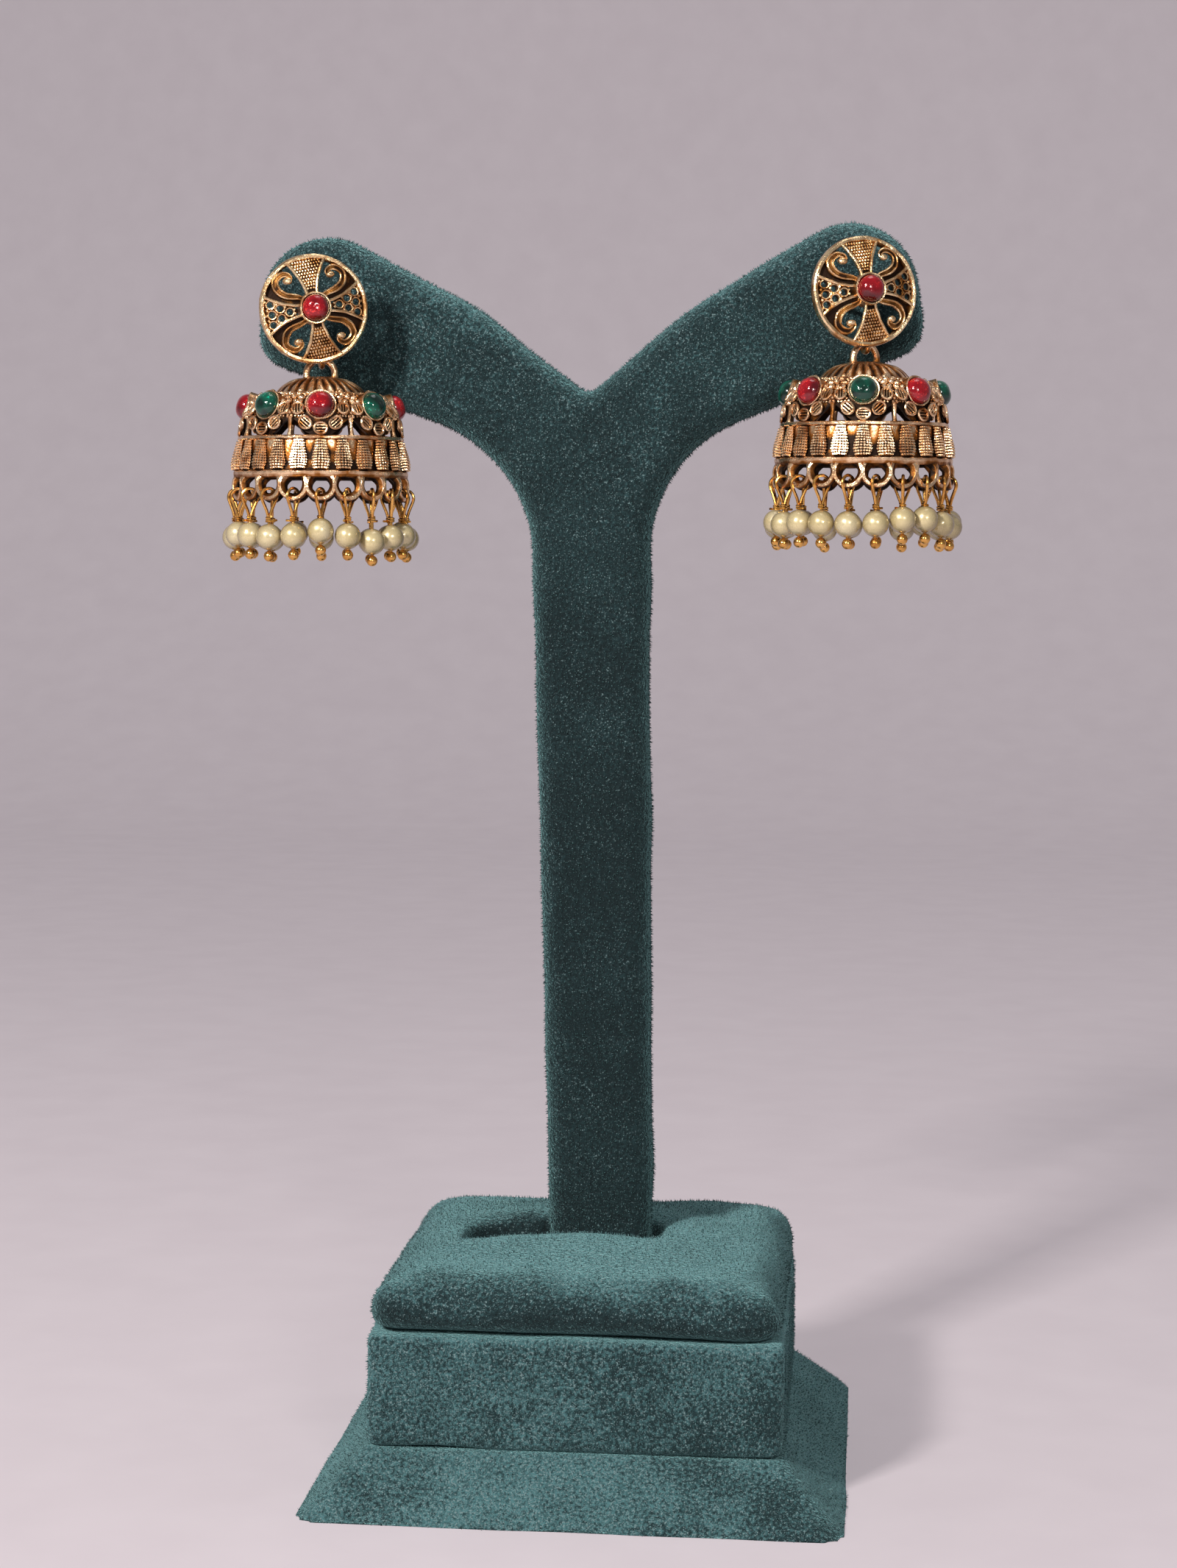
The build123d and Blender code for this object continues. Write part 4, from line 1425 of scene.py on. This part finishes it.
# %% [markdown]
# ## Pearls on head pins
#
# Each pearl is threaded on a wire with a ball at its foot. The wire's other end is bent into a long
# loop through an eye, and its tail is wrapped once or twice at the pearl. The drops differ a little in
# length, so the height of each pearl is read from its solid: the points are sorted by the eye they hang
# under.

# %% Heights of the pearls
DROP_R = 12.7
DROP_TOP = -19.25
LOOP_BEND = 1.15
LOOP_NECK = 4.25
PEARL_RADIUS = 1.92
WIRE_RADIUS, TAIL_RADIUS, KNOB_RADIUS = 0.235, 0.18, 0.8
TAIL_TURNS = 1.9
LOOP_TURNS = (32, 40, 24, 43, 34, 20, 42, 30, 26, 38, 43, 24, 36, 41, 22, 30, 42, 34, 38, 28)


def pearl_heights(side):
    """The middle height of each pearl, from the CAD node: lowest and highest point by azimuth."""
    points = corners_of(nodes[side + "_pearls"])
    local = (points - hang[side]) @ turn("Z", bell_turn[side])[:3, :3]
    azimuth = np.degrees(np.arctan2(local[:, 0], -local[:, 1])) % 360
    drop = np.round(azimuth / (360 / EYES)).astype(int) % EYES
    heights = [local[drop == k, 2] for k in range(EYES)]
    return [(one.min() + one.max()) / 2 for one in heights]


# %% One head pin
def head_pin(middle, tail_turn):
    """A wire from its ball, up through the pearl, round in a long loop and back, then wrapped."""
    top = middle + PEARL_RADIUS
    neck = max(top + 0.12, DROP_TOP - LOOP_NECK)
    centre = DROP_TOP - LOOP_BEND
    slope = math.asin(LOOP_BEND / (centre - neck))
    angle = np.linspace(-slope, np.pi + slope, 19)
    bend = np.stack([LOOP_BEND * np.cos(angle), 0 * angle, centre + LOOP_BEND * np.sin(angle)], -1)
    down = np.array([[0.08, 0, neck], [0.36, 0, (neck * 2 + centre) / 3]])
    path = np.vstack([down, bend, (down * (-1, 1, 1))[::-1]])
    loop = bar(path, WIRE_RADIUS, (0, 1, 0), sides=8)
    wraps = np.linspace(0, 1, 24)
    wind = wraps * 2 * np.pi * TAIL_TURNS
    coil = np.stack([0.37 * np.cos(wind), 0.37 * np.sin(wind), neck + 0.2 - 0.62 * wraps], -1)
    tail = coil[-1] + np.array([(-math.sin(wind[-1]), math.cos(wind[-1]), 0.05)]) * 1.1
    coil = put(bar(np.vstack([coil, tail]), TAIL_RADIUS, (0, 0, 1), sides=6), turn("Z", tail_turn))
    foot = middle - PEARL_RADIUS
    shank = bar([(0, 0, neck + 0.2), (0, 0, foot - 0.3)], WIRE_RADIUS, (0, 1, 0), sides=8)
    knob = put(ball(KNOB_RADIUS, 18, 11), shift(0, 0, foot - KNOB_RADIUS - 0.05))
    return together([loop, coil, shank, knob])


# %% Build the fringes
pearl_shape = ball(PEARL_RADIUS, 32, 18)
for side in SIDES:
    pins, pearl_places = [], []
    drops = around(EYES, 0.0, shift(0, -DROP_R, 0))
    for k, (middle, drop) in enumerate(zip(pearl_heights(side), drops)):
        place = bell_frame[side] @ drop
        facing = turn("Z", 90.0 - LOOP_TURNS[k])
        pins.append(put(head_pin(middle, 137.0 * k), place @ facing))
        wobble = turn("X", 3.0 * math.sin(k)) @ turn("Z", 40.0 * k)
        pearl_places.append(place @ shift(0, 0, middle) @ wobble)
    body, beads = side + "_bell", copies(pearl_shape, pearl_places)
    make_piece(side + "_head_pins", together(pins), pin_gold, body, [side + "_drop_pins"])
    make_piece(side + "_pearls_fringe", beads, pearl_finish, body, [side + "_pearls"])

# %% [markdown]
# ## Floor, light and camera
#
# A sheet of pale paper runs from the table up behind the stand, so that there is no horizon. The main
# lamp stands at the upper left in front, a weaker one in front at the right and another overhead, and
# the world gives the rest.

# %% A paper sweep
PAPER_GLOW = 0.6  # only for rays from the camera, from metal and from glass
SWEEP_DEPTH, SWEEP_BEND, SWEEP_HEIGHT, SWEEP_WIDTH, SWEEP_FRONT = 900.0, 500.0, 2200.0, 3200.0, -2500.0
SWEEP_STRIPS = 11
bend = np.radians(np.linspace(-90, 0, 24))
behind = SWEEP_DEPTH + SWEEP_BEND
sweep_y = np.concatenate([[SWEEP_FRONT], SWEEP_DEPTH + SWEEP_BEND * np.cos(bend), [behind]])
sweep_z = np.concatenate([[0.0], SWEEP_BEND * (1 + np.sin(bend)), [SWEEP_HEIGHT]])
sweep_x = np.linspace(-SWEEP_WIDTH, SWEEP_WIDTH, SWEEP_STRIPS + 1)
x, row = np.meshgrid(sweep_x, np.arange(len(sweep_y)))
points = np.stack([x, sweep_y[row], sweep_z[row]], -1).reshape(-1, 3)
index = np.arange(len(points)).reshape(x.shape)
quads = np.stack([index[:-1, :-1], index[:-1, 1:], index[1:, 1:], index[1:, :-1]], -1).reshape(-1, 4)
mesh = bpy.data.meshes.new("paper_sweep")
mesh.from_pydata((points * MM).tolist(), [], quads.tolist())
mesh.shade_smooth()
sweep = in_scene("paper_sweep", mesh)
paper, tree, shader, place = new_material(
    "pale_mauve_paper", {"Roughness": 0.85, "Specular IOR Level": 0.2}
)
MAUVES = ((0.3, (0.442, 0.394, 0.421)), (0.7, (0.459, 0.411, 0.438)))
paper_colour = ramp(tree, noise(tree, place, 60.0, 4.0), MAUVES)
seen = add(tree, "ShaderNodeLightPath").outputs
glow = plus(tree, seen["Is Camera Ray"], seen["Is Glossy Ray"])
glow = plus(tree, glow, seen["Is Transmission Ray"])
feed(
    tree,
    shader,
    {
        "Base Color": paper_colour,
        "Emission Color": paper_colour,
        "Emission Strength": times(tree, glow, PAPER_GLOW),
    },
)
mesh.materials.append(paper)


# %% Lamps and world
def lamp(name, place, aim, size, power, colour):
    """A square lamp at a place, facing a point, both in millimetres."""
    data = bpy.data.lights.new(name, "AREA")
    data.size = size * MM
    data.energy = power
    data.color = colour
    light = in_scene(name, data)
    light.location = Vector(place) * MM
    light.rotation_euler = (Vector(aim) - Vector(place)).to_track_quat("-Z", "Y").to_euler()


AIM = (0, 0, 120)
lamp("key_lamp", (-330, -600, 470), AIM, 90, 6.0, (1.0, 0.96, 0.92))
lamp("front_lamp", (230, -640, 330), AIM, 120, 1.2, (1.0, 0.97, 0.94))
lamp("top_lamp", (60, 60, 800), AIM, 260, 0.5, (1.0, 1.0, 1.0))

world = bpy.data.worlds.new("studio")
bpy.context.scene.world = world
world.use_nodes = True
backdrop = world.node_tree.nodes["Background"]
backdrop.inputs["Color"].default_value = (0.80, 0.77, 0.80, 1.0)
backdrop.inputs["Strength"].default_value = 0.3
bpy.context.scene.view_settings.view_transform = "Standard"

# %% Camera
CAMERA_PLACE = (41.3, -438.6, 140.4)
CAMERA_HEADING, CAMERA_DIP, CAMERA_ROLL = 5.535, 4.701, 0.37
CAMERA_LENS = 66.05
camera_data = bpy.data.cameras.new("camera")
camera_data.lens = CAMERA_LENS
camera_data.sensor_width = 36.0
camera_data.clip_start = 0.01
camera = in_scene("camera", camera_data)
facing = turn("Z", CAMERA_HEADING) @ turn("X", -CAMERA_DIP) @ turn("Y", -CAMERA_ROLL) @ turn("X", 90)
camera.matrix_world = Matrix((shift(*(v * MM for v in CAMERA_PLACE)) @ facing).tolist())
bpy.context.scene.camera = camera
